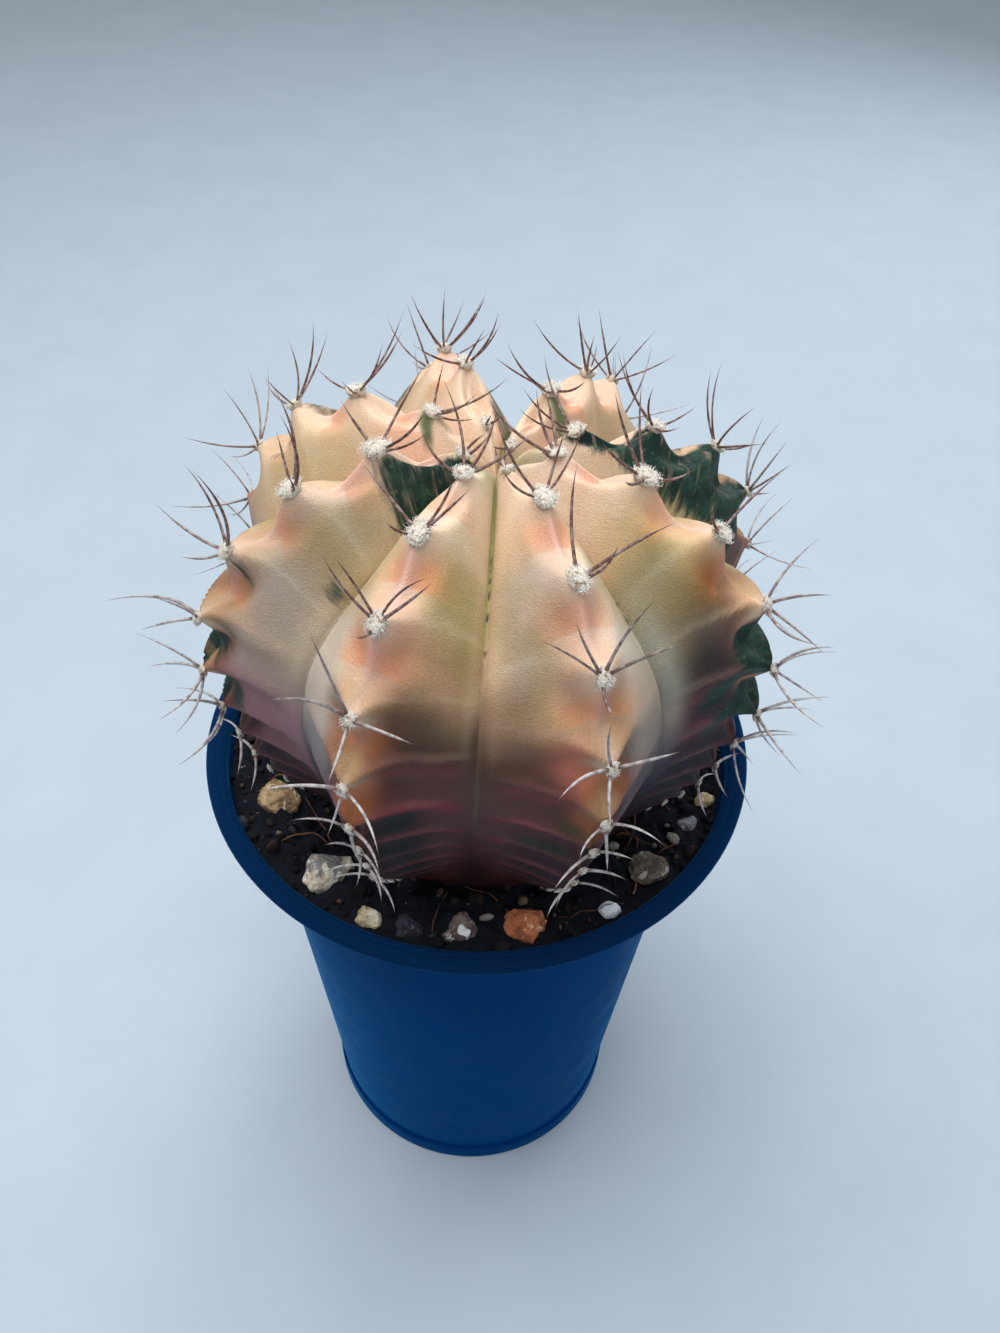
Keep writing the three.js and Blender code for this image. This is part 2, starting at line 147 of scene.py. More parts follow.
def build(name, points, faces, material, node=None, colours=None, fields=()):
    """A piece from points in millimetres and faces, with its colours and named point fields."""
    mesh = bpy.data.meshes.new(name)
    faces = [faces] if isinstance(faces, np.ndarray) else faces
    counts = np.concatenate([np.full(len(f), f.shape[1]) for f in faces])
    corners = np.concatenate([f.ravel() for f in faces]).astype(np.int32)
    mesh.vertices.add(len(points))
    mesh.vertices.foreach_set("co", (np.asarray(points) * MM).astype(np.float32).ravel())
    mesh.loops.add(len(corners))
    mesh.loops.foreach_set("vertex_index", corners)
    mesh.polygons.add(len(counts))
    starts = np.concatenate([[0], np.cumsum(counts)[:-1]]).astype(np.int32)
    mesh.polygons.foreach_set("loop_start", starts)
    mesh.polygons.foreach_set("use_smooth", np.ones(len(counts), bool))
    mesh.update(calc_edges=True)
    mesh.validate()
    if colours is not None:
        layer = mesh.color_attributes.new("tint", "FLOAT_COLOR", "POINT")
        layer.data.foreach_set("color", np.c_[colours, np.ones(len(colours))].astype(np.float32).ravel())
    for key, values in dict(fields).items():
        vector = np.ndim(values) == 2
        layer = mesh.attributes.new(key, "FLOAT_VECTOR" if vector else "FLOAT", "POINT")
        layer.data.foreach_set("vector" if vector else "value", np.asarray(values, np.float32).ravel())
    piece = bpy.data.objects.new(name, mesh)
    bpy.context.scene.collection.objects.link(piece)
    mesh.materials.append(material)
    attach(piece, "root")
    if node:
        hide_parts(node)
    return piece


def grid_faces(rows, columns):
    """Quads between the rows of a grid of points whose columns close round."""
    i, j = np.meshgrid(np.arange(rows - 1), np.arange(columns), indexing="ij")
    a, b = i * columns + j, i * columns + (j + 1) % columns
    return np.stack([a, b, b + columns, a + columns], -1).reshape(-1, 4)


def tubes(paths, radii, sides):
    """Points and faces of round tubes along paths (n, steps, 3) with radii (n, steps)."""
    count, steps, _ = paths.shape
    along = unit(np.gradient(paths, axis=1))
    other = np.where(np.abs(along[..., 2:]) > 0.9, [1.0, 0, 0], [0, 0, 1.0])
    side = unit(np.cross(along, other))
    lift = np.cross(along, side)
    turn = 2 * np.pi * np.arange(sides) / sides
    ring = side[..., None, :] * np.cos(turn)[:, None] + lift[..., None, :] * np.sin(turn)[:, None]
    points = paths[:, :, None] + ring * radii[:, :, None, None]
    faces = grid_faces(steps, sides)
    faces = (faces[None] + (np.arange(count) * steps * sides)[:, None, None]).reshape(-1, 4)
    end = (np.arange(count) * steps * sides)[:, None] + np.arange(sides)
    caps = np.concatenate([end[:, ::-1], end + (steps - 1) * sides])
    return points.reshape(-1, 3), [faces[:, ::-1], caps[:, ::-1]]


def ball(subdivisions):
    """Points and triangles of a unit ball."""
    made = bmesh.new()
    bmesh.ops.create_icosphere(made, subdivisions=subdivisions, radius=1)
    made.verts.index_update()
    points = np.array([v.co[:] for v in made.verts])
    faces = np.array([[v.index for v in f.verts] for f in made.faces])
    made.free()
    return points, faces


# ---- Material helpers ------------------------------------------------------------------------
class Shader:
    """A Principled material and short calls for the nodes that feed it."""

    def __init__(self, name, **settings):
        self.material = bpy.data.materials.new(name)
        self.material.use_nodes = True
        self.tree = self.material.node_tree
        self.main = self.tree.nodes["Principled BSDF"]
        self.set(**settings)

    def put(self, socket, value):
        if isinstance(value, bpy.types.NodeSocket):
            self.tree.links.new(value, socket)
        elif np.ndim(value) and len(value) == 3 and socket.type == "RGBA":
            socket.default_value = (*value, 1)
        else:
            socket.default_value = value

    def set(self, **settings):
        for key, value in settings.items():
            self.put(self.main.inputs[key.replace("_", " ")], value)

    def node(self, kind, inputs=(), **options):
        made = self.tree.nodes.new("ShaderNode" + kind)
        for key, value in options.items():
            setattr(made, key, value)
        for key, value in dict(inputs).items():
            self.put(made.inputs[key], value)
        return made

    def field(self, name, output="Fac"):
        return self.node("Attribute", attribute_name=name).outputs[output]

    def place(self):
        return self.node("TexCoord").outputs["Object"]

    def noise(self, vector, scale, detail, roughness=0.55, distortion=0):
        inputs = {"Vector": vector, "Scale": scale, "Detail": detail, "Roughness": roughness,
                  "Distortion": distortion}
        return self.node("TexNoise", inputs).outputs["Fac"]

    def cells(self, vector, scale):
        return self.node("TexVoronoi", {"Vector": vector, "Scale": scale}).outputs["Distance"]

    def scaled(self, vector, x, y, z):
        return self.node("Mapping", {"Vector": vector, "Scale": (x, y, z)}).outputs[0]

    def math(self, operation, a, b):
        return self.node("Math", {0: a, 1: b}, operation=operation).outputs[0]

    def plus(self, a, b, share):
        """a and a share of b."""
        return self.math("ADD", a, self.math("MULTIPLY", b, share))

    def span(self, value, low, high, to_low=0.0, to_high=1.0):
        inputs = {"Value": value, "From Min": low, "From Max": high, "To Min": to_low, "To Max": to_high}
        return self.node("MapRange", inputs, interpolation_type="SMOOTHSTEP").outputs[0]

    def blend(self, factor, a, b, mode="MIX"):
        made = self.node("Mix", data_type="RGBA", blend_type=mode)
        self.put(made.inputs[0], factor)
        self.put(made.inputs[6], a)
        self.put(made.inputs[7], b)
        return made.outputs[2]

    def bump(self, height, distance, strength):
        return self.node("Bump", {"Height": height, "Distance": distance, "Strength": strength}).outputs[0]


# ---- Cactus: shape ---------------------------------------------------------------------------
def catmull(points, t):
    """Uniform Catmull-Rom curve, as the part's source draws it, at t in 0..1."""
    points = np.array(points, float)
    last = len(points) - 1
    at = np.clip(t, 0, 1) * last
    i = np.minimum(at.astype(int), last - 1)
    w = (at - i)[:, None]
    p0, p1, p2 = points[np.maximum(i - 1, 0)], points[i], points[i + 1]
    p3 = points[np.minimum(i + 2, last)]
    v0, v1 = (p2 - p0) / 2, (p3 - p1) / 2
    return (2 * p1 - 2 * p2 + v0 + v1) * w ** 3 + (3 * p2 - 3 * p1 - 2 * v0 - v1) * w ** 2 + v0 * w + p1


T = np.linspace(0, 1, 4001)
CREST_LINE, GROOVE_LINE = catmull(CREST, T), catmull(GROOVE, T)
RUN = np.concatenate([[0], np.cumsum(np.linalg.norm(np.diff(CREST_LINE, axis=0), axis=1))])
TANGENT = unit(np.gradient(CREST_LINE, axis=0))


def along(line, distance):
    return np.stack([np.interp(distance, RUN, line[:, k]) for k in range(2)], -1)


def distance_of(count):
    beyond = SPACING * (EVEN + SHRINK * (1 - np.exp(-(count - EVEN) / SHRINK)))
    return np.where(count <= EVEN, SPACING * count, beyond)


def count_of(distance):
    share = np.clip((distance / SPACING - EVEN) / SHRINK, 0, 0.999)
    return np.where(distance <= SPACING * EVEN, distance / SPACING, EVEN - SHRINK * np.log(1 - share))


def spacing_of(count):
    return np.where(count <= EVEN, SPACING, SPACING * np.exp(-(count - EVEN) / SHRINK))


def planted(radius, bearing, height):
    angle = np.radians(bearing)
    x, y, up = radius * np.sin(angle), -radius * np.cos(angle), height - BODY_HEIGHT
    return np.stack([BODY_X + x + LEAN_X * up, BODY_Y + y + LEAN_Y * up,
                     POT_HEIGHT + height - LEAN_X * x - LEAN_Y * y], -1)


def half_width(distance, half_angle):
    """Width of a rib's flank in millimetres, from its crest to its groove."""
    crest, groove = along(CREST_LINE, distance), along(GROOVE_LINE, distance)
    across = (crest[..., 0] + groove[..., 0]) / 2 * np.radians(half_angle)
    return np.hypot(across, np.hypot(*np.moveaxis(crest - groove, -1, 0)))


def furrow_place(count, phase, u):
    """How far below an areole a skin point is, in areole spacings. Furrows arch up to the groove."""
    arch = 0.3 + 0.34 * smooth(count, 2.5, 5.2)
    return count - phase + arch * (1 - (1 - u) ** mix(2.2, 3.8, smooth(count, 2.5, 5)))


CREST_SOFTNESS, FRONT_SPAN = 0.09, 44
CREASE_DEPTH, CHIN_HEIGHT, DEEPEST_FURROW = 0.14, 0.4, 2.3
SUNK, SUNK_BEARING, SUNK_SPAN = 1.8, 128, 32


def skin(bearing, phase, u, distance, half_angle, lift=0.0, carved=0.0):
    """Skin points, by bearing, the rib's phase, share of the flank and run down the crest.

    lift raises the points off the skin, and carved from 0 to 1 deepens the flank's furrows.
    """
    crest, groove = along(CREST_LINE, distance), along(GROOVE_LINE, distance)
    tangent = along(TANGENT, distance)
    count = count_of(distance)
    facing = gauss(bearing, FRONT_SPAN)

    # The flank's section, rounder on the crown and fuller low down.
    rounded = np.sqrt(u * u + CREST_SOFTNESS ** 2) - CREST_SOFTNESS
    rounded = rounded / (math.hypot(1, CREST_SOFTNESS) - CREST_SOFTNESS)
    steepness, fullness = mix(1.5, 1.08, smooth(distance, 8, 34)), mix(1, 1.9, smooth(distance, 34, 74))
    weight = (1 - rounded ** steepness) ** fullness

    # Furrows between the chins: round notches on the crest, which become steps low on the flank.
    place = furrow_place(count, phase, u)
    part = place - np.floor(place)
    low = smooth(count, 3.8, 5.4)
    notch = np.sin(np.pi * part ** mix(1.3, 0.85, smooth(count, 3.3, 5)))
    notch = (np.sqrt(notch ** 2 + 0.03) - 0.173) / 0.842
    step = np.sin(np.pi * part ** 0.72) ** 1.5
    wave = mix(notch, mix(np.sin(np.pi * part) ** 2, step, low), smooth(u, 0.05, 0.4))
    near = 1 - smooth(u, 0.08 + 0.12 * carved, 0.46 + 0.3 * carved)
    near = (1 + (0.2 + 0.4 * carved) * smooth(u, 0, 0.12)) * near
    reach = (near + 0.5 * low * (1 - near)) * (1 - smooth(u, 0.52, 0.96))
    depth = np.minimum(DEEPEST_FURROW, 0.38 * spacing_of(count)) * smooth(distance, 4, 13)
    depth = depth * (1 - 0.42 * facing * (1 - smooth(count, 3.4, 4.6)))
    depth = depth * (1 - 0.6 * facing * smooth(count, 4.9, 6.2) * (1 - smooth(u, 0.15, 0.45)))

    # A crease in the groove, and a chin under each areole.
    width = half_width(distance, half_angle)
    crease = CREASE_DEPTH * gauss((1 - u) * width, 0.4) * smooth(distance, 2, 8)
    below = (part - np.round(part)) * spacing_of(count)
    chin = CHIN_HEIGHT * gauss(below - 0.3, 1.8) * gauss(u * width, 2.6) * smooth(distance, 3, 9)
    above_soil = 1 - smooth(count, LAST - 2, LAST)
    inward = (depth * wave * reach + crease - chin) * above_soil - lift
    tucked = smooth(distance, 72, 89) * (3.2 * weight - 0.7)
    radius = groove[..., 0] + (crest[..., 0] - groove[..., 0]) * weight + tangent[..., 1] * inward - tucked
    height = groove[..., 1] + (crest[..., 1] - groove[..., 1]) * weight - tangent[..., 0] * inward
    sunk = SUNK * gauss(bearing - SUNK_BEARING, SUNK_SPAN) * smooth(distance, 4, 12)
    return planted(radius, bearing, height - sunk * (1 - smooth(distance, 24, 36)))


def rib_gap(rib):
    """Bearings from a rib's crest to the next one's."""
    nxt = RIBS[(rib + 1) % len(RIBS)][0] + (360 if rib + 1 == len(RIBS) else 0)
    return nxt - RIBS[rib][0]


# Columns of the body's grid, from each crest down one flank and up the next one to its crest.
FLANK_STEPS, ROWS_ABOVE, ROWS_BURIED = 24, 205, 12
steps = np.arange(FLANK_STEPS) / FLANK_STEPS
down_u = 0.65 * steps + 0.35 * (0.5 - 0.5 * np.cos(np.pi * steps))
up_u = np.r_[1, down_u[:0:-1]]
column = {key: [] for key in ("bearing", "phase", "u", "half", "side", "rib")}
for rib, (bearing, phase) in enumerate(RIBS):
    gap, following = rib_gap(rib), (rib + 1) % len(RIBS)
    column["bearing"] += [*(bearing + down_u * gap / 2), *(bearing + gap - up_u * gap / 2)]
    column["u"] += [*down_u, *up_u]
    for key, first, second in (("phase", phase, RIBS[following][1]), ("half", gap / 2, gap / 2),
                               ("side", 1, -1), ("rib", rib, following)):
        column[key] += [first] * FLANK_STEPS + [second] * FLANK_STEPS
column = {key: np.array(values, float) for key, values in column.items()}

soil_run = float(distance_of(LAST))
row_run = np.r_[np.linspace(0.5, soil_run, ROWS_ABOVE), np.linspace(soil_run + 1.5, RUN[-1] - 1, ROWS_BURIED)]
U = np.broadcast_to(column["u"], (len(row_run), len(column["u"])))
DISTANCE = np.broadcast_to(row_run[:, None], U.shape)
RIB, SIDE = (np.broadcast_to(column[key], U.shape) for key in ("rib", "side"))


def flank(rib, side):
    """Mask of one flank of a rib: side -1 is the left one and 1 the right one, from outside."""
    return (RIB == rib) & (SIDE == side)


# The flanks that face away from the front are carved deeper, which keeps the notches open in outline.
far_side = sum(flank(rib, side) for rib, side in ((0, -1), (3, 1), (4, 1), (5, 1), (6, -1), (7, -1)))
body = skin(column["bearing"], column["phase"], U, DISTANCE, column["half"], carved=far_side)
wobble = 0.22 * fractal(body / 7, 3, 5) + 0.06 * fractal(body / 1.6, 2, 9)
outward = unit(body - np.array([BODY_X, BODY_Y, POT_HEIGHT + 22]))
body = body + outward * wobble[..., None]

# ---- Cactus: colours -------------------------------------------------------------------------
COUNT = count_of(DISTANCE)
SPACE = spacing_of(COUNT)
SCALE = SPACE / SPACING
WIDTH = half_width(DISTANCE, column["half"])
LATERAL, FROM_GROOVE = U * WIDTH, (1 - U) * WIDTH
flow = np.stack([DISTANCE, LATERAL * column["side"], RIB * 40], -1)
ragged = 0.09 * fractal(flow / np.array([5, 5, 1]), 3, 27) * smooth(U, 0.1, 0.3)
PLACE = furrow_place(COUNT, column["phase"], U) + ragged
PART = PLACE - np.floor(PLACE)
# Areoles counted along the arched furrows, and parts of a spacing along the crest.
ARCHED = PLACE + column["phase"]
crest_part = (COUNT - column["phase"]) - np.floor(COUNT - column["phase"])
BELOW = (crest_part - np.round(crest_part)) * SPACING
cloud = fractal(flow / np.array([6, 6, 1]), 3, 21)
drift = fractal(flow / np.array([11, 13, 1]), 2, 90)
streak = fractal(flow / np.array([0.9, 9, 1]), 3, 44)


def apart(a, b):
    """Signed distance of two parts of a spacing, the short way round."""
    return (a - b + 0.5) % 1 - 0.5


def band(x, a, b, soft):
    return smooth(x, a - soft, a + soft) * (1 - smooth(x, b - soft, b + soft))


def past(first, last):
    """0 above the first areole count and 1 below the last."""
    return smooth(COUNT, first, last)


def until(first, last):
    return 1 - past(first, last)


def ramp(tones, at):
    marks = [tone[0] for tone in tones]
    return np.stack([np.interp(at, marks, [rgb(*tone[1])[k] for tone in tones]) for k in range(3)], -1)


def fade(start, end, share):
    """Linear colours between two display tones."""
    return mix(rgb(*start), rgb(*end), share[..., None])


def paint(tone, mask):
    """Lays a display tone, or an array of linear colours, over the skin's colours."""
    tint = rgb(*tone) if np.ndim(tone) == 1 else tone
    colours[:] = colours + (tint - colours) * np.clip(mask, 0, 1)[..., None]


# Tones by areole count, away from the crest and on it; their darkening towards the soil is partly painted
# shade.
FLANK_TONES = [
    (0, (236, 228, 204)), (1, (236, 218, 198)), (2, (214, 196, 166)), (2.7, (188, 168, 130)),
    (3.3, (158, 136, 100)), (3.7, (132, 106, 76)), (4.1, (108, 80, 58)), (4.45, (82, 56, 46)),
    (5.3, (86, 56, 54)), (5.9, (82, 46, 56)), (6.6, (66, 32, 44)), (7.4, (48, 21, 32)), (9, (38, 14, 24)),
    (13, (16, 8, 14)),
]
CREST_TONES = [
    (0, (228, 220, 196)), (1, (240, 216, 200)), (2.4, (230, 194, 174)), (3, (206, 168, 146)),
    (3.8, (188, 142, 114)), (4.4, (176, 126, 88)), (5.2, (156, 108, 70)), (6.5, (112, 68, 44)),
    (8, (72, 40, 34)), (10, (40, 24, 26)),
]
# How many areoles older or younger than its count each rib's left and right side look.
AGEING = np.array([(0, -0.6), (-0.4, 0), (-0.45, -0.5), (0.9, 0.7), (0.3, 0.3), (0, 0), (0, 0), (-0.3, -0.3)])
stair = column["phase"] + np.floor(PLACE) - 0.5 + smooth(PART, 0, 0.26)
ageing = AGEING[RIB.astype(int), (SIDE > 0).astype(int)] * past(2.5, 4)
level = mix(COUNT, stair, 0.55) + ageing + 0.12 * cloud
colours = ramp(FLANK_TONES, level)
crest_width = mix(2.8, 0.9, past(3.6, 5)) - 0.45 * past(5.4, 7)
paint(ramp(CREST_TONES, level), gauss(LATERAL, crest_width))

# The pale upper body: flushed in clouds, warmer at the back and olive towards the grooves.
high = until(3.4, 4.6)
rear = np.isin(RIB, [5, 6, 7]) * until(3.5, 6)
paint((240, 200, 184), smooth(drift, -0.1, 0.5) * high * 0.55)
paint((240, 210, 184), rear * 0.55)
paint((242, 188, 168), rear * smooth(cloud, 0, 0.4) * 0.5)
paint((236, 202, 172), flank(2, -1) * high * 0.4)
paint((206, 168, 104), flank(3, -1) * band(COUNT, 1.6, 3.6, 0.5) * (0.4 + 0.3 * cloud))
paint((168, 154, 104), band(U, 0.35, 0.99, 0.16) * band(COUNT, 1.8, 4, 0.6) * (0.4 + 0.5 * cloud))

# Flanks that stay pale further down and then fade to a bluish painted shade, and painted shade at the feet of
# flanks.
pale_side = flank(1, -1) * 0.85 + flank(2, 1) * 0.6 + flank(0, 1) * 0.9
pale_side = pale_side + flank(3, -1) * 0.7 * smooth(U, 0.65, 0.92)
pale = np.where((RIB == 0)[..., None], fade((186, 170, 152), (158, 130, 140), past(3.8, 5.6)),
                fade((208, 196, 184), (88, 86, 102), past(3.9, 5.8)))
paint(pale, pale_side * past(2.5, 3.4) * until(5.4, 6.6) * smooth(U, 0.12, 0.42))
aged = smooth(level, 4.8, 5.6) * band(U, 0.45, 1.2, 0.2) * (0.3 + 0.3 * cloud)
paint((94, 60, 58), (1 - pale_side) * aged)
paint((148, 104, 116), flank(0, 1) * band(COUNT, 5.1, 7.2, 0.6) * smooth(U, 0.1, 0.4) * 0.6)
# Painted shade: bluish near-black low on three flanks, bluish dark on rib 3's left flank, near-black low on
# rib 1's right one.
paint((24, 24, 38), (flank(3, -1) | flank(2, 1) | flank(1, -1)) * past(5.2, 6.6) * 0.88)
paint((44, 42, 56), flank(3, -1) * band(COUNT, 3.4, 5.6, 0.4) * band(U, -0.2, 0.7, 0.15) * 0.6)
paint((20, 24, 28), flank(1, 1) * past(5.6, 6.4) * band(U, 0.1, 0.42, 0.15) * 0.85)

# Low noses: brown orange under an areole, tan over the next one, and a rosy left flank.
low = past(3.9, 4.6)
beside = mix(band(crest_part, 0.06, 0.62, 0.16), 0.8, past(4.8, 5.5)) * (1 - smooth(ARCHED, 6, 6.7))
warmth = 0.85 - 0.3 * np.isin(RIB, [0, 1]) * until(4.9, 5.5)
paint((178, 108, 66), gauss(LATERAL - 1.2, 1.9 * SCALE ** 0.4) * beside * low * warmth)
on_nose = band(crest_part, 0.6, 1.1, 0.13) * until(5, 5.9)
paint((186, 150, 116), gauss(LATERAL - 0.4, 1.9) * on_nose * low * 0.8)
paint((206, 122, 108), flank(2, -1) * gauss(LATERAL - 3.2, 2.6) * band(ARCHED, 4.48, 5.25, 0.2) * 0.85)

# Round each areole: an orange and pink blush below, an olive dip above and a pale cushion.
lower, upper = past(3.8, 4.8), 1 - smooth(ARCHED, 5.2, 6.1)
fading = until(4.6, 6)
blush = (1 - 0.6 * lower) * gauss(BELOW - 3.2, 3.3) * past(0.9, 1.8)
blush = blush * gauss(LATERAL - mix(2.4, 1, lower), mix(3.4, 1.8, lower))
paint((212, 134, 80), blush * upper * (0.48 + 0.35 * cloud))
paint((232, 160, 140), gauss(BELOW - 3, 2.2) * gauss(LATERAL, 2.2) * upper * (0.35 + 0.3 * drift))
paint((176, 152, 104), gauss(BELOW + 2.2, 1.7) * gauss(LATERAL, 3) * 0.5 * past(2.5, 4) * fading)
paint((238, 224, 200), gauss(BELOW - 0.2, 1.5) * gauss(LATERAL / SCALE, 2.2) * 0.75 * fading)

# Painted highlights along the upper ridges, pale lines by the grooves, then red furrows and rosy rims lower
# down.
ridge_highlight = gauss((PART - 1) * SPACE + 0.5, 0.8) * band(U, 0.12, 0.9, 0.12)
paint((230, 216, 188), ridge_highlight * (0.2 + 0.16 * streak) * until(4, 5))
paint((226, 216, 192), gauss(FROM_GROOVE - 1.9, 0.7) * band(COUNT, 2.2, 4.4, 0.5) * 0.14)
# The red furrows are partly painted shade under each fold, and the rosy rims partly a painted highlight on
# its edge.
furrow = gauss(apart(PART, 0.22), 0.15) * band(U, 0.1, 0.78, 0.14) * past(3.8, 5)
furrow = furrow * (1 - 0.6 * flank(2, -1) * (1 - smooth(ARCHED, 5.2, 5.6)))
paint((132, 50, 60), furrow * (1 - pale_side * (1 - 0.7 * flank(0, 1))) * (0.55 + 0.25 * streak))
rim = gauss(apart(PART, 0.93), 0.08) * band(U, 0.08, 0.7, 0.16) * past(3.4, 4.4)
paint((182, 104, 104), rim * (0.26 + 0.2 * streak) * (1 - 0.5 * past(5, 8)))

# Painted light and shade on reaches of single flanks: rib, side, counts, shares of the flank, factor.
SHADING = [
    (2, -1, 2, 3.7, 0.1, 0.8, (0.72, 0.78, 0.88)), (2, -1, 3.5, 4.3, 0.5, 1.2, (0.62, 0.56, 0.54)),
    (3, -1, 2.3, 4.4, 0.42, 1.2, (0.58, 0.68, 0.7)), (3, -1, 3.55, 3.95, -0.2, 0.4, (1.8, 1.6, 1.5)),
    (0, 1, 1.8, 3.9, 0.1, 0.8, (0.78, 0.8, 0.88)), (1, 1, 3.75, 4.6, 0.22, 0.62, (0.6, 0.6, 0.62)),
    (2, 1, 2.3, 3.5, 0.15, 1.2, (1.15, 1.3, 1.4)), (1, 1, 3, 4, 0.12, 0.9, (0.84, 0.77, 0.7)),
    (2, -1, 2.6, 3.7, 0.1, 0.45, (0.92, 0.82, 0.72)), (3, -1, 2.98, 3.5, 0.08, 0.5, (0.66, 0.54, 0.44)),
]
for rib, side, c0, c1, u0, u1, factor in SHADING:
    inside = band(COUNT + 0.15 * drift, c0, c1, 0.28) * band(U, u0, u1, 0.16) * flank(rib, side)
    colours = colours * (1 + inside[..., None] * (np.array(factor) - 1))
# Painted highlight: a pale lilac streak along the crests.
crest_highlight = gauss(LATERAL / SCALE ** 0.5, 1) * past(1.2, 2) * until(4.4, 5.2)
paint((226, 204, 206), crest_highlight * (0.16 + 0.16 * cloud))

# Leaf green patches: rib, side, counts from and to, shares of the flank from and to, strength.
PATCHES = [
    (0, 1, 0.35, 1.7, 0.13, 1.3, 1), (0, 1, 2.75, 3, 0.78, 0.95, 1.2), (0, 1, 3.5, 3.8, 0.02, 0.3, 0.7),
    (0, 1, 4.75, 5.2, -0.2, 0.22, 1), (0, 1, 5.75, 6.2, -0.2, 0.35, 0.9),
    (0, -1, 4.6, 6.6, -0.2, 0.6, 0.9), (3, -1, 4.05, 4.6, -0.2, 0.35, 1.2),
    (3, -1, 4.5, 5, -0.2, 0.62, 1.2), (3, -1, 5.1, 5.9, -0.2, 0.5, 1.2), (3, 1, 3.9, 6.2, -0.2, 0.7, 1),
    (3, 1, 0.5, 0.95, 0.1, 0.5, 0.7), (4, -1, 0.95, 1.4, -0.2, 0.3, 1.1),
    (4, -1, 1.3, 1.8, -0.2, 0.48, 1.1), (4, -1, 1.6, 2.4, 0, 0.6, 1.1), (4, -1, 2.2, 4.1, -0.2, 0.75, 1),
    (4, 1, 1, 4.2, -0.2, 0.12, 1.2), (4, 1, 2.4, 5.5, 0.2, 0.9, 0.8), (6, 1, 3, 5, 0.3, 1.2, 0.8),
    (6, -1, 1, 2.4, 0.5, 1.2, 0.8), (7, 1, 3.1, 3.6, 0.05, 0.35, 0.75), (7, 1, 4.9, 5.7, 0.1, 0.6, 0.9),
    (7, -1, 2.2, 3.1, 0, 0.4, 0.7),
]
green = np.zeros(U.shape)
for rib, side, c0, c1, u0, u1, strength in PATCHES:
    inside = band(COUNT, c0, c1, min(0.22, 0.3 * (c1 - c0))) * band(U, u0, u1, 0.16)
    green = np.maximum(green, strength * inside * flank(rib, side))
# Dark and olive marks without the leaf green's velvet, along the furrows or level with the areoles.
# The low marks on ribs 1 and 2 are leaf green darkened as painted shade near the soil.
MARKS = [
    (ARCHED, 1, 1, 6.25, 6.95, 0.14, 0.46, (12, 24, 24)),
    (ARCHED, 1, 1, 7.4, 8.2, 0.1, 0.42, (12, 20, 22)),
    (ARCHED, 2, -1, 6.15, 6.5, 0.08, 0.3, (58, 62, 38)),
    (ARCHED, 2, -1, 7.2, 7.6, 0.1, 0.6, (40, 48, 38)),
    (COUNT, 5, -1, 1.3, 1.54, 0.02, 0.75, (84, 112, 66)), (COUNT, 7, 1, 0.97, 1.14, 0, 0.6, (66, 92, 50)),
]
for axis, rib, side, c0, c1, u0, u1, tone in MARKS:
    inside = band(axis + 0.1 * cloud, c0, c1, 0.3 * (c1 - c0)) * band(U, u0, u1, 0.14)
    paint(tone, 0.9 * inside * flank(rib, side))
crimson = np.maximum(gauss(apart(PART, 0.16), 0.17) * band(ARCHED, 6.9, 10, 0.3),
                     gauss(apart(PART, 0.14), 0.17) * band(ARCHED, 5.9, 6.6, 0.15))
crimson = crimson * (flank(0, 1) | flank(1, 1) | flank(2, -1))
paint((150, 42, 62), crimson * band(U, 0.18, 0.8, 0.16) * (0.75 + 0.2 * streak))

# Grooves: lime near the crown, then a thin olive line with dark dots.
lime = gauss(FROM_GROOVE, 0.6 - 0.35 * past(1, 2.6)) * band(COUNT, 0.3, 2.7, 0.4)
paint((152, 164, 78), lime * 0.85)
paint((172, 184, 140), np.isin(RIB, [0, 1, 4]) * until(0.4, 1.1) * 0.6)
paint((104, 100, 78), gauss(FROM_GROOVE, 0.34) * band(COUNT, 2.6, 6.4, 0.6) * 0.4)
dots = smooth(fractal(DISTANCE[..., None] * [1.1, 0, 0] + RIB[..., None] * 31, 2, 8), 0.12, 0.3)
paint((30, 34, 22), gauss(FROM_GROOVE, 0.28) * band(COUNT, 1.3, 3, 0.3) * dots)

rows, columns = U.shape
crown, tip = (planted(0, 0, line[1]) for line in (CREST[0], CREST[-1]))
body_points = np.concatenate([body.reshape(-1, 3), [crown, tip]])
ring = np.arange(columns)
after, last_row = (ring + 1) % columns, (rows - 1) * columns
crown_fan = np.stack([np.full(columns, rows * columns), after, ring], -1)
tip_fan = np.stack([np.full(columns, rows * columns + 1), ring + last_row, after + last_row], -1)


def with_ends(values):
    """A grid's values as a list, with zeros for the crown and the tip."""
    flat = values.reshape(rows * columns, -1)
    return np.concatenate([flat, np.zeros((2, flat.shape[1]))]).squeeze()


flesh = Shader("cactus_skin", Roughness=0.5, Specular_IOR_Level=0.22, Subsurface_Weight=0.12,
               Subsurface_Radius=(1, 0.45, 0.25), Subsurface_Scale=0.0014)
at, flow_at = flesh.place(), flesh.field("flow", "Vector")
feather = flesh.noise(flesh.scaled(flow_at, 1.1, 0.2, 1), 1, 3, 0.6)
mottle = flesh.noise(at, 520, 5, 0.6)
grain = flesh.cells(at, 4800)
speck = flesh.cells(flesh.scaled(flow_at, 1, 1, 1), 0.95)
colour = flesh.field("tint", "Color")
colour = flesh.blend(flesh.span(mottle, 0.3, 0.7, 0, 0.22), colour, (1, 0.93, 0.78), "MULTIPLY")
colour = flesh.blend(flesh.span(grain, 0.1, 0.6, 0, 0.5), colour, (0.78, 0.7, 0.6), "MULTIPLY")
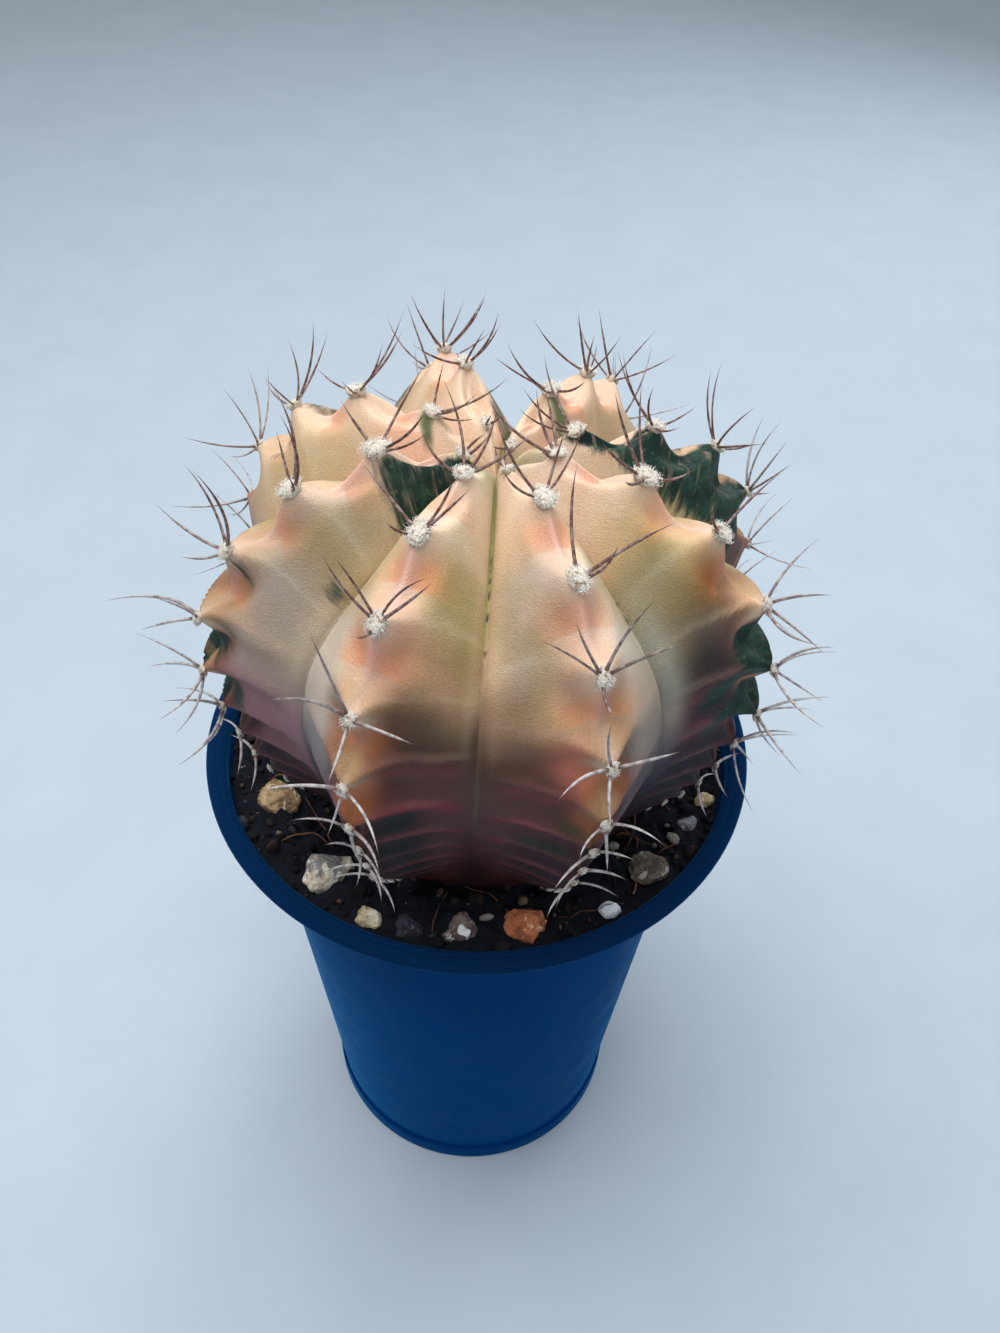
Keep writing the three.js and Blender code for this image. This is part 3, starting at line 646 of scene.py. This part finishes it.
# Painted glints: pale specks standing in for the skin's fine sparkle.
painted_glints = flesh.span(flesh.noise(at, 1100, 3, 0.7), 0.52, 0.72, 0, 0.3)
colour = flesh.blend(painted_glints, colour, rgb(236, 222, 198), "SOFT_LIGHT")
leaf = flesh.blend(flesh.span(mottle, 0.35, 0.7), rgb(18, 40, 36), rgb(38, 68, 54))
leaf = flesh.blend(flesh.span(speck, 0.08, 0.3, 0.2, 0), leaf, rgb(120, 146, 118))
edge = flesh.plus(flesh.field("green"), flesh.math("SUBTRACT", feather, 0.5), 1.4)
colour = flesh.blend(flesh.span(edge, 0.25, 1), colour, leaf)
height = flesh.plus(flesh.math("MULTIPLY", grain, -0.7), flesh.noise(at, 1500, 4, 0.6), 0.5)
flesh.set(Base_Color=colour, Roughness=flesh.span(grain, 0, 0.5, 0.36, 0.56),
          Normal=flesh.bump(height, 0.0001, 0.75))
build("cactus_body", body_points, [f[:, ::-1] for f in (grid_faces(rows, columns), crown_fan, tip_fan)],
      flesh.material, "cactus",
      colours=with_ends(colours), fields={"flow": with_ends(flow), "green": with_ends(green)})

# ---- Areoles: where they sit -----------------------------------------------------------------
areoles = []
for rib, (bearing, phase) in enumerate(RIBS):
    half = rib_gap(rib) / 2
    for step in range(int(LAST - phase) + 1):
        count = phase + step
        run = distance_of(np.array([count, count + 0.3]))
        root, below = (skin(bearing, phase, np.zeros(1), run[k:k + 1], half)[0] for k in range(2))
        normal = unit(skin(bearing, phase, np.zeros(1), run[:1], half, lift=1.0)[0] - root)
        down = unit((below - root) - normal * ((below - root) @ normal))
        if root[2] > POT_HEIGHT - 1:
            areoles.append({"rib": rib, "step": step, "count": count, "root": root,
                            "axes": np.stack([np.cross(normal, down), down, normal])})


def tuft_size(areole):
    count = areole["count"]
    size = 1.4 - 0.58 * float(smooth(count, 1.5, 5)) - 0.28 * float(smooth(count, 5, 9))
    return size * (0.85 if areole["rib"] > 3 else 1) * mix(0.66, 1, float(smooth(count, 0.8, 1.3)))


# Felt cushions under the wool.
BALL, BALL_FACES = ball(3)
cushion_points, cushion_faces = [], []
for number, areole in enumerate(areoles):
    shape = BALL * (np.array([0.85, 1.12, 0.6]) * tuft_size(areole))
    shape = shape * (1 + 0.16 * fractal(BALL * 2.6 + number * 7.1, 3, 3))[:, None]
    cushion_faces.append(BALL_FACES + len(BALL) * number)
    cushion_points.append(areole["root"] + areole["axes"][2] * 0.15 + shape @ areole["axes"])
felt = Shader("areole_felt", Roughness=0.95, Specular_IOR_Level=0.2, Sheen_Weight=0.4, Sheen_Roughness=0.5)
at = felt.place()
speckle = felt.span(felt.noise(at, 1500, 3, 0.6), 0.5, 0.66)
felt.set(Base_Color=felt.blend(speckle, rgb(222, 214, 198), rgb(150, 122, 98)),
         Normal=felt.bump(felt.noise(at, 2600, 3, 0.7), 0.0004, 0.9))
build("areole_felt", np.concatenate(cushion_points), np.concatenate(cushion_faces), felt.material)

# Wool: short hairs over each cushion, one piece for each rib.
HAIR_STEPS, HAIR_SIDES, HAIRS = 4, 3, 200
wool = Shader("areole_wool", Roughness=0.8, Specular_IOR_Level=0.25, Sheen_Weight=0.3)
stained = wool.span(wool.noise(wool.place(), 2400, 2), 0.4, 0.75, 0, 0.2)
wool.set(Base_Color=wool.blend(stained, wool.field("tint", "Color"), (0.6, 0.5, 0.4), "MULTIPLY"))


def wool_hairs(areole):
    """Hair paths of one areole in millimetres, and their colours."""
    size = tuft_size(areole)
    hairs = int(HAIRS * size)
    spread = np.sqrt(rng.random(hairs))
    turn = 2 * np.pi * rng.random(hairs)
    flat = np.stack([0.85 * spread * np.cos(turn), 1.1 * spread * np.sin(turn)], -1) * size
    start = np.c_[flat, 0.4 * size * np.sqrt(np.clip(1.1 - spread ** 2, 0, 1))]
    lean = unit(np.c_[flat / size * 0.8, 0.6 + 0.4 * rng.random(hairs)] + 0.4 * rng.normal(size=(hairs, 3)))
    length = size * (0.25 + 0.3 * rng.random(hairs))
    curl = rng.normal(size=(hairs, 3)) * length[:, None] * 0.3
    t = np.linspace(0, 1, HAIR_STEPS)[None, :, None]
    path = start[:, None] + (lean * length[:, None])[:, None] * t + curl[:, None] * np.sin(np.pi * t)
    tone = mix(rgb(250, 246, 236), rgb(232, 230, 226), float(smooth(areole["count"], 2, 7)))
    tone = tone * (0.85 + 0.25 * rng.random(hairs))[:, None]
    tone = np.where((rng.random(hairs) < 0.05)[:, None], rgb(136, 96, 70), tone)
    return areole["root"] + path @ areole["axes"], tone


for rib in range(len(RIBS)):
    tufts = [wool_hairs(areole) for areole in areoles if areole["rib"] == rib]
    hair_paths = np.concatenate([path for path, _ in tufts])
    taper = np.broadcast_to(np.linspace(0.034, 0.016, HAIR_STEPS), hair_paths.shape[:2])
    points, faces = tubes(hair_paths, taper, HAIR_SIDES)
    tones = np.concatenate([tone for _, tone in tufts])
    build(f"areole_wool_{rib}", points, faces, wool.material,
          colours=np.repeat(tones, HAIR_STEPS * HAIR_SIDES, axis=0))

# ---- Spines ----------------------------------------------------------------------------------
# Fans of spines: turn in degrees from straight down the rib (positive to the right as seen from
# outside), tilt from the skin's normal in degrees, length in millimetres, and curl to the normal.
BUDDING = [(165, 30, 3.4, 0.2), (-120, 35, 3, 0.3)]
YOUNG = [(158, 52, 7.5, 0.3), (-150, 55, 9, 0.25), (122, 68, 8, 0.2), (-80, 74, 5, 0.5)]
MIDDLE = [(164, 62, 9, 0.25), (-160, 60, 9.5, 0.2), (128, 70, 9, 0.3), (-118, 70, 9.5, 0.2),
          (8, 72, 4.5, 0.4)]
OLD = [(178, 62, 8.5, 0.25), (92, 64, 9, 0.3), (-88, 64, 9, 0.3), (14, 66, 7, 0.4)]
LOWEST = [(84, 76, 5.4, 0.35), (-86, 76, 5.6, 0.35)]
# Fans of the areoles that face the front, by rib and step.
FRONT = {
    (0, 2): [(-150, 58, 9, 0.35), (150, 56, 10, 0.4), (110, 60, 7, 0.3), (-110, 62, 6, 0.2)],
    (0, 3): [(-140, 56, 10, 0.4), (165, 58, 10, 0.4), (-60, 60, 9, 0.3), (-10, 60, 4, 0.3)],
    (0, 4): [(-130, 60, 8.5, 0.8), (-50, 60, 9, 0.2), (150, 62, 8, 0.4)],
    (1, 1): [(-118, 72, 9, 0.1), (-54, 54, 3.6, 0.4), (158, 62, 6.4, 0.2), (142, 66, 6.4, 0.2)],
    (1, 2): [(-116, 46, 8.6, -0.05), (-144, 52, 8, 0.05), (166, 62, 8.4, 0.05), (138, 62, 8, 0.1),
             (-5, 60, 3, 0.6)],
    (1, 3): [(-156, 62, 10.5, 0.08), (-126, 50, 9.5, 0.3), (94, 74, 8.5, 0.1), (10, 54, 6.6, 0.1)],
    (1, 4): [(-114, 58, 8.4, 0.15), (-4, 70, 5.2, 0.1), (98, 70, 8.4, 0.25)],
    (1, 5): [(-140, 74, 7.2, 0.3), (6, 68, 5.2, 0.1), (112, 78, 7.6, 0.3)],
    (1, 6): [(-150, 76, 6.2, 0.3), (20, 60, 4.6, 0.1), (110, 78, 6.4, 0.3)],
    (2, 2): [(-176, 62, 10, 0.12), (111, 64, 10, 0.02), (84, 66, 4.5, 0.8)],
    (2, 3): [(-130, 68, 10.6, 0.15), (-152, 70, 8.8, 0.1), (160, 52, 10, 0.05), (120, 46, 8.4, -0.05),
             (-24, 64, 4.8, 0.5)],
    (2, 4): [(-160, 76, 8.8, 0.1), (-110, 76, 8, 0.25), (116, 56, 7.2, 0.1), (-30, 46, 5.4, 0.15)],
    (2, 5): [(146, 60, 6.8, 0.35), (4, 68, 6.2, 0.1), (-96, 70, 6, 0.3)],
    (2, 6): [(148, 64, 6, 0.2), (-94, 72, 5.8, 0.2)],
    (3, 2): [(-148, 58, 8.5, 0.2), (-123, 60, 7, 0.15), (92, 58, 8, 0.6)],
    (3, 3): [(136, 60, 9, 0.15), (72, 62, 9, 0.1), (-6, 58, 7, 0.1), (-58, 66, 8, 0.5)],
}
SPINE_STEPS, SPINE_SIDES, LAST_SPINED, SPINES_CLEAR_OF_LIP = 16, 8, 8, 6
paths, radii, ages, shares, shades = [], [], [], [], []
for areole in areoles:
    count, place = areole["count"], (areole["rib"], areole["step"])
    if areole["root"][2] < POT_HEIGHT + SPINES_CLEAR_OF_LIP or areole["step"] > LAST_SPINED:
        continue
    fan = YOUNG if count < 1.9 else MIDDLE if count < 4.6 else OLD if count < 7 else LOWEST
    fan = BUDDING if count < 0.9 else FRONT.get(place, fan)
    across, down, normal = areole["axes"]
    for turn, tilt, length, curl in fan:
        turn = math.radians(turn + rng.normal() * (3 if place in FRONT else 12))
        tilt = math.radians(tilt + rng.normal() * 5)
        length = length * (0.9 + 0.2 * rng.random()) * mix(1, 0.85, float(smooth(count, 6, 9)))
        out = down * math.cos(turn) + across * math.sin(turn)
        forward = normal * math.cos(tilt) + out * math.sin(tilt)
        inward = normal * math.sin(tilt) - out * math.cos(tilt)
        sway = np.cross(forward, inward) * rng.normal() * 0.13
        start = areole["root"] + normal * 0.2 + out * 0.45 * tuft_size(areole)
        t = np.linspace(0, 1, SPINE_STEPS)
        bend = (inward * curl + sway) * t[:, None] ** 2.2
        path = start + length * (forward * t[:, None] + bend)
        # Tips that would reach the soil lie on it.
        path[:, 2] = np.maximum(path[:, 2], POT_HEIGHT - 1.2 + 0.15 * np.sin(9 * t))
        thick = (0.185 if areole["rib"] < 4 else 0.15) * (0.85 + 0.3 * rng.random())
        taper = (1 - 0.3 * t) * np.sqrt(np.clip(1 - t ** 5, 0.01, 1)) * (1 - 0.75 * smooth(t, 0.6, 1))
        paths.append(path)
        radii.append(thick * (taper + 0.35 * np.exp(-t * 18)))
        ages.append(np.full(SPINE_STEPS, float(smooth(count + rng.normal() * 0.3, 2.6, 5))))
        shares.append(t)
        shades.append(np.full(SPINE_STEPS, rng.random()))


def round_rings(values):
    """Values along the spines, repeated for the points round each ring."""
    return np.repeat(np.concatenate(values), SPINE_SIDES)


points, faces = tubes(np.array(paths), np.array(radii), SPINE_SIDES)
spine_at = np.stack([round_rings(shares), round_rings(shades), np.zeros(len(points))], -1)
horn = Shader("spine_horn", Roughness=0.5, Specular_IOR_Level=0.4)
split = horn.node("SeparateXYZ", {"Vector": horn.field("spine_at", "Vector")}).outputs
bloom = horn.noise(horn.place(), 1300, 4, 0.65)
young = horn.blend(horn.span(bloom, 0.42, 0.68), rgb(98, 62, 52), rgb(156, 136, 130))
old = horn.blend(horn.span(bloom, 0.3, 0.62), rgb(132, 120, 118), rgb(196, 190, 188))
ends = horn.math("MAXIMUM", horn.span(split[0], 0.05, 0.2, 0.85, 0),
                 horn.span(split[0], 0.8, 0.97, 0, 0.95))
colour = horn.blend(horn.field("age"), young, horn.blend(ends, old, rgb(104, 62, 48)))
colour = horn.blend(horn.span(split[1], 0, 1, 0, 0.35), colour, (0.75, 0.7, 0.68), "MULTIPLY")
horn.set(Base_Color=colour, Normal=horn.bump(bloom, 0.00008, 0.7))
build("spines", points, faces, horn.material,
      fields={"age": round_rings(ages), "spine_at": spine_at})

# ---- Pot -------------------------------------------------------------------------------------
NECK, COLLAR = POT_HEIGHT - NECK_DROP, POT_HEIGHT - COLLAR_DROP


def inner_radius(height):
    below = BASE_RADIUS + height / NECK * (NECK_RADIUS - BASE_RADIUS) - WALL
    share = np.clip((height - NECK) / (COLLAR - NECK), 0, 1)
    return np.where(height < NECK, below, NECK_RADIUS - WALL + share * (MOUTH_RADIUS - NECK_RADIUS + WALL))


def arc(x, y, radius, start, stop, count):
    angle = np.radians(np.linspace(start, stop, count))
    return np.stack([x + radius * np.cos(angle), y + radius * np.sin(angle)], -1)


# The wall's section, from the middle of the underside out, up, over the lip and down inside.
wall_z = np.linspace(FOOT_HEIGHT + 0.5, NECK - 2.2, 12)
flare = catmull([(inner_radius(NECK - 3.2) + WALL, NECK - 3.2), (inner_radius(NECK - 1.2) + WALL, NECK - 1.2),
                 (NECK_RADIUS + 1.1, NECK + 1), (NECK_RADIUS + 4.2, COLLAR - 1.3),
                 (MOUTH_RADIUS + WALL - 0.15, COLLAR + 0.2),
                 (MOUTH_RADIUS + WALL, POT_HEIGHT - LIP_THICKNESS - 0.3)], np.linspace(0.25, 1, 14))
foot = np.concatenate([
    [(20, 0), (FOOT_RADIUS - 1.1, 0)], arc(FOOT_RADIUS - 0.6, 0.6, 0.6, -90, 0, 5),
    [(FOOT_RADIUS, FOOT_HEIGHT - 0.9)], arc(FOOT_RADIUS - 0.5, FOOT_HEIGHT - 0.6, 0.5, 0, 75, 4),
    [(FOOT_RADIUS - 0.44, FOOT_HEIGHT), (FOOT_RADIUS - 0.47, FOOT_HEIGHT + 0.3)]])
# Two shallow grooves run round the lip's top. Places are in from its edge and down from its top.
lip_top = np.array([LIP_RADIUS, POT_HEIGHT]) - [
    (1.05, 0.04), (1.28, 0.02), (1.4, 0.16), (1.58, 0.16), (1.7, 0.03), (2.05, 0), (2.17, 0.12),
    (2.32, 0.12), (2.4, 0.07)]
profile = np.concatenate([
    foot, np.stack([inner_radius(wall_z) + WALL, wall_z], -1), flare,
    [(LIP_RADIUS - 1.65, POT_HEIGHT - 2.1), (LIP_RADIUS - 1.3, POT_HEIGHT - 2)],
    arc(LIP_RADIUS - 1, POT_HEIGHT - 1, 1, -85, 85, 12), lip_top,
    arc(LIP_RADIUS - 2.25, POT_HEIGHT - 0.7, 0.64, 95, 180, 5),
    [(MOUTH_RADIUS, COLLAR), (NECK_RADIUS - WALL, NECK), (inner_radius(FLOOR + 0.8), FLOOR + 0.8),
     (inner_radius(FLOOR) - 0.8, FLOOR)]])
POT_SIDES = 192
turn = 2 * np.pi * np.arange(POT_SIDES) / POT_SIDES
radius, level_z = profile[:, :1], np.repeat(profile[:, 1:], POT_SIDES, 1)
ringed = np.stack([radius * np.cos(turn), radius * np.sin(turn), level_z], -1)
pot_points = np.concatenate([ringed.reshape(-1, 3), [[0, 0, 0], [0, 0, FLOOR]]])
ring = np.arange(POT_SIDES)
after, middle = (ring + 1) % POT_SIDES, len(profile) * POT_SIDES
bottom = np.stack([np.full(POT_SIDES, middle), after, ring], -1)
top = np.stack([np.full(POT_SIDES, middle + 1), ring + middle - POT_SIDES, after + middle - POT_SIDES], -1)
plastic = Shader("pot_plastic", Roughness=0.42, Specular_IOR_Level=0.004, Specular_Tint=(0.1, 0.4, 1, 1),
                 Sheen_Weight=0.3, Sheen_Roughness=0.4, Sheen_Tint=(0.02, 0.36, 0.85, 1))
at = plastic.place()
cloudy = plastic.span(plastic.noise(at, 38, 4, 0.6), 0.3, 0.7)
dust = plastic.span(plastic.noise(at, 420, 5, 0.7), 0.62, 0.8, 0, 0.02)
colour = plastic.blend(cloudy, rgb(0, 44, 96), rgb(0, 47, 101))
colour = plastic.blend(dust, colour, rgb(70, 110, 150))
height_at = plastic.node("SeparateXYZ", {"Vector": at}).outputs[2]
# Painted shade: the lip is painted a darker navy than the wall.
lip_shade = plastic.span(height_at, (POT_HEIGHT - 4.5) * MM, (POT_HEIGHT - 2.5) * MM)
colour = plastic.blend(lip_shade, colour, rgb(8, 36, 70))
rough = plastic.span(plastic.noise(at, 150, 4, 0.6), 0.3, 0.7, 0.36, 0.5)
drawn = plastic.noise(plastic.scaled(at, 1, 1, 0.06), 900, 2, 0.5)
height = plastic.plus(plastic.noise(at, 3000, 2, 0.5), drawn, 0.5)
plastic.set(Base_Color=colour, Roughness=rough, Normal=plastic.bump(height, 0.00003, 0.5))
pot = build("pot_shell", pot_points, [grid_faces(len(profile), POT_SIDES), bottom, top], plastic.material,
            "pot")
drills = bmesh.new()
for i in range(DRAIN_COUNT):
    angle = 2 * math.pi * i / DRAIN_COUNT
    spot = (DRAIN_CIRCLE * MM * math.cos(angle), DRAIN_CIRCLE * MM * math.sin(angle), FLOOR / 2 * MM)
    bmesh.ops.create_cone(drills, cap_ends=True, segments=40, radius1=DRAIN_RADIUS * MM,
                          radius2=DRAIN_RADIUS * MM, depth=3 * FLOOR * MM, matrix=Matrix.Translation(spot))
drill_mesh = bpy.data.meshes.new("drills")
drills.to_mesh(drill_mesh)
drills.free()
drill = bpy.data.objects.new("drills", drill_mesh)
bpy.context.scene.collection.objects.link(drill)
cut = pot.modifiers.new("drain", "BOOLEAN")
cut.object, cut.operation, cut.solver = drill, "DIFFERENCE", "EXACT"
bored = bpy.data.meshes.new_from_object(pot.evaluated_get(bpy.context.evaluated_depsgraph_get()))
pot.modifiers.clear()
pot.data = bored
bpy.data.objects.remove(drill)
bored.polygons.foreach_set("use_smooth", np.ones(len(bored.polygons), bool))
bored.set_sharp_from_angle(angle=math.radians(38))


# ---- Soil ------------------------------------------------------------------------------------
def soil_height(x, y):
    front = smooth(-y, 8, 36)
    inside = 1 - smooth(np.hypot(x, y), MOUTH_RADIUS - GRIT_MARGIN, MOUTH_RADIUS)
    grit = sum(np.sin(a * x + b * y) for a, b in GRIT_WAVES)
    return POT_HEIGHT - SOIL_DROP + FRONT_HEAP * front + GRIT_HEIGHT * grit * inside


def past_plant(x, y):
    """How far a place on the soil is from the plant's skin, in millimetres."""
    near = body.reshape(-1, 3)
    near = near[np.abs(near[:, 2] - (POT_HEIGHT - 3)) < 1.2] - [BODY_X, BODY_Y, 0]
    skin_at = np.arctan2(near[:, 1], near[:, 0])
    order = np.argsort(skin_at)
    off_x, off_y = x - BODY_X, y - BODY_Y
    edge = np.interp(np.arctan2(off_y, off_x), skin_at[order], np.hypot(near[:, 0], near[:, 1])[order],
                     period=2 * np.pi)
    return np.hypot(off_x, off_y) - edge


# The soil's near-black blue is partly painted shade over its own dark tone.
earth = Shader("soil_earth", Roughness=0.95, Specular_IOR_Level=0.25)
at = earth.place()
clods = earth.span(earth.noise(at, 300, 5, 0.7), 0.35, 0.65)
earth.set(Base_Color=earth.blend(clods, rgb(6, 10, 20), rgb(22, 26, 36)),
          Normal=earth.bump(earth.noise(at, 900, 6, 0.7), 0.0008, 0.9))
soil_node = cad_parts["soil"]
soil_node.data.materials.clear()
soil_node.data.materials.append(earth.material)

SOIL_SIDES, SOIL_RINGS = 300, 60
turn = 2 * np.pi * np.arange(SOIL_SIDES) / SOIL_SIDES
edge = inner_radius(soil_height(MOUTH_RADIUS * np.cos(turn), MOUTH_RADIUS * np.sin(turn))) - 0.3
radius = edge * np.linspace(0.4, 1, SOIL_RINGS)[:, None]
x, y = radius * np.cos(turn), radius * np.sin(turn)
crust = np.stack([x, y, soil_height(x, y) + 0.15], -1)
crust[..., 2] += 0.5 * np.abs(fractal(crust / [1.6, 1.6, 5], 4, 61)) + 0.25 * fractal(crust / 0.6, 2, 71)
build("soil_crust", crust.reshape(-1, 3), grid_faces(SOIL_RINGS, SOIL_SIDES)[:, ::-1], earth.material)

# Crumbs, grit and bark on the soil: each a roughened ball, by tone and share.
GRAIN, GRAIN_FACES = ball(2)
# The near-black bluish tones are partly painted shade.
TONES = [
    ((14, 15, 22), 0.42), ((28, 27, 32), 0.24), ((52, 40, 36), 0.14), ((86, 64, 50), 0.06),
    ((116, 98, 80), 0.05), ((140, 134, 126), 0.03), ((56, 58, 66), 0.05), ((196, 196, 194), 0.01),
]
SCATTER_RADIUS, STONE_MARGIN = 36.7, 0.6


def scatter(count, smallest, largest, seed):
    """Points, faces and colours of grains on the soil, clear of the plant and the stones."""
    local = np.random.default_rng(seed)
    angle = 2 * np.pi * local.random(8 * count)
    radius = SCATTER_RADIUS * np.sqrt(local.random(8 * count))
    spot = np.stack([radius * np.cos(angle), radius * np.sin(angle)], -1)
    clear = past_plant(*spot.T) > -1.0
    for place, half, *_ in STONES.values():
        clear &= np.hypot(*(spot - place).T) > max(half[:2]) + STONE_MARGIN
    spot = spot[clear][:count]
    size = smallest * (largest / smallest) ** (local.random(len(spot)) ** 1.6)
    odds = np.array([share for _, share in TONES])
    tone = local.choice(len(TONES), len(spot), p=odds / sum(odds))
    points, faces, tints = [], [], []
    for i, (place, grain_size) in enumerate(zip(spot, size)):
        stretch = grain_size * np.array([1, 0.55 + 0.5 * local.random(), 0.4 + 0.5 * local.random()])
        rough = 1 + 0.3 * fractal(GRAIN * 1.4 + local.random(3) * 90, 2, 8)
        axes = np.linalg.qr(local.normal(size=(3, 3)))[0]
        height = soil_height(*place) + 0.35 + 0.35 * grain_size
        points.append(np.r_[place, height] + (GRAIN * rough[:, None] * stretch) @ axes)
        faces.append(GRAIN_FACES + i * len(GRAIN))
        tints.append(np.tile(rgb(*TONES[tone[i]][0]) * (0.7 + 0.6 * local.random()), (len(GRAIN), 1)))
    return np.concatenate(points), np.concatenate(faces), np.concatenate(tints)


crumb = Shader("soil_crumb", Roughness=0.92, Specular_IOR_Level=0.25)
at = crumb.place()
shadow = crumb.span(crumb.noise(at, 1400, 4, 0.7), 0.3, 0.7, 0, 0.7)
crumb.set(Base_Color=crumb.blend(shadow, crumb.field("tint", "Color"), (0.4, 0.36, 0.34), "MULTIPLY"),
          Normal=crumb.bump(crumb.noise(at, 2200, 4, 0.7), 0.0003, 0.8))
# Number, smallest and largest size in millimetres, and seed.
for name, how in {"soil_fines": (1100, 0.18, 0.5, 3), "soil_crumbs": (520, 0.45, 1.3, 4)}.items():
    points, faces, tints = scatter(*how)
    build(name, points, faces, crumb.material, colours=tints)

FIBRES, FIBRE_STEPS, FIBRE_REACH = 46, 9, 36
fibre_paths = []
local = np.random.default_rng(12)
while len(fibre_paths) < FIBRES:
    angle, radius = 2 * np.pi * local.random(), 24 + 12 * local.random()
    heading = 2 * np.pi * local.random()
    length = 3 + 7 * local.random()
    t = np.linspace(-0.5, 0.5, FIBRE_STEPS)
    swing = local.normal() * 0.8
    x = radius * math.cos(angle) + length * t * math.cos(heading) - swing * t * t * 4 * math.sin(heading)
    y = radius * math.sin(angle) + length * t * math.sin(heading) + swing * t * t * 4 * math.cos(heading)
    if np.hypot(x, y).max() < FIBRE_REACH and np.all(past_plant(x, y) > 0):
        fibre_paths.append(np.stack([x, y, soil_height(x, y) + 0.9 + 0.5 * np.sin(5 * t + swing)], -1))
fibre_paths = np.array(fibre_paths)
thickness = np.full(fibre_paths.shape[:2], 0.11) * (0.6 + local.random((FIBRES, 1)))
points, faces = tubes(fibre_paths, thickness, 5)
bark = Shader("fibre", Roughness=0.85, Specular_IOR_Level=0.3)
worn = bark.span(bark.noise(bark.place(), 260, 3), 0.35, 0.65)
bark.set(Base_Color=bark.blend(worn, rgb(52, 34, 24), rgb(112, 76, 50)))
build("soil_fibres", points, faces, bark.material)

# ---- Stones ----------------------------------------------------------------------------------
PEBBLE, PEBBLE_FACES = ball(5)
FACETS = 14
for number, (name, stone) in enumerate(STONES.items()):
    place, half, turn, first, second, vein, angular = stone
    local = np.random.default_rng(100 + number)
    shape = PEBBLE.copy()
    planes = unit(local.normal(size=(FACETS, 3)))
    for plane, cut_at in zip(planes, 0.86 - 0.24 * local.random(FACETS) * angular):
        shape -= 0.85 * np.maximum(shape @ plane - cut_at, 0)[:, None] * plane
    dents = 0.12 * fractal(shape * 2 + number * 9, 4, 5) + 0.06 * fractal(shape * 6 + number, 4, 6)
    shape = shape * (1 + dents)[:, None] * half * 1.06
    c, s = math.cos(math.radians(turn)), math.sin(math.radians(turn))
    shape = shape @ np.array([[c, s, 0], [-s, c, 0], [0, 0, 1]])
    seat = soil_height(*place) + half[2] * (1 - 2 * STONE_SUNK)
    rock = Shader(name, Roughness=0.8, Specular_IOR_Level=0.35)
    at = rock.place()
    patch = rock.span(rock.noise(at, 330 + 20 * number, 5, 0.62), 0.43, 0.57)
    veins = rock.span(rock.noise(at, 620, 3, 0.5, 0.8), 0.58, 0.66)
    colour = rock.blend(veins, rock.blend(patch, rgb(*first), rgb(*second)), rgb(*vein))
    colour = rock.blend(rock.span(rock.cells(at, 1900), 0.1, 0.3, 0.35, 0), colour, rgb(*second) * 0.5)
    height = rock.plus(rock.noise(at, 700, 6, 0.65), rock.noise(at, 3000, 3, 0.6), 0.4)
    rock.set(Base_Color=colour, Normal=rock.bump(height, 0.0007, 0.9))
    build(name + "_rock", shape + [*place, seat], PEBBLE_FACES, rock.material, name)

# ---- Floor, light and camera -----------------------------------------------------------------
floor_mesh = bpy.data.meshes.new("floor")
floor_mesh.from_pydata([(-3, -3, 0), (3, -3, 0), (3, 3, 0), (-3, 3, 0)], [], [(0, 1, 2, 3)])
floor = bpy.data.objects.new("floor", floor_mesh)
bpy.context.scene.collection.objects.link(floor)
paper = Shader("floor_paper", Roughness=0.9, Specular_IOR_Level=0.1)
shade = paper.span(paper.noise(paper.place(), 40, 3), 0.3, 0.7)
paper.set(Base_Color=paper.blend(shade, (0.45, 0.52, 0.58), (0.47, 0.54, 0.60)))
floor_mesh.materials.append(paper.material)


def area_light(name, place, target, size, power, tint):
    data = bpy.data.lights.new(name, "AREA")
    data.shape, data.size, data.energy, data.color = "DISK", size, power, tint
    lamp = bpy.data.objects.new(name, data)
    lamp.location = place
    lamp.rotation_euler = (Vector(target) - Vector(place)).to_track_quat("-Z", "Y").to_euler()
    bpy.context.scene.collection.objects.link(lamp)


area_light("key", (-0.1, 0.03, 0.62), (0, -0.01, 0.12), 0.6, 4.2, (0.98, 0.98, 0.98))
area_light("fill", (0.3, -0.6, 0.5), (0, 0, 0.1), 0.6, 0.9, (0.92, 0.96, 1))
area_light("rim", (0.3, 0.45, 0.35), (0, 0, 0.12), 0.4, 1, (0.92, 0.96, 1))
world = bpy.data.worlds.new("studio")
world.use_nodes = True
sky = world.node_tree.nodes["Background"].inputs
sky["Color"].default_value, sky["Strength"].default_value = (0.8, 0.9, 1, 1), 0.36
bpy.context.scene.world = world
bpy.context.scene.view_settings.view_transform = "Standard"

# The camera fitted to the photograph's lip: its place in metres, and in degrees how far it looks
# down and how far it is rolled.
CAMERA_PLACE, LOOKS_DOWN, ROLL = (0.00284, -0.11264, 0.22496), 45.9667, 2.3359
camera_data = bpy.data.cameras.new("camera")
camera_data.sensor_width, camera_data.lens, camera_data.clip_start = 36, 31.06, 0.01
camera = bpy.data.objects.new("camera", camera_data)
tilted = Matrix.Rotation(math.radians(90 - LOOKS_DOWN), 4, "X")
camera.matrix_world = Matrix.Translation(CAMERA_PLACE) @ tilted @ Matrix.Rotation(math.radians(ROLL), 4, "Z")
bpy.context.scene.collection.objects.link(camera)
bpy.context.scene.camera = camera
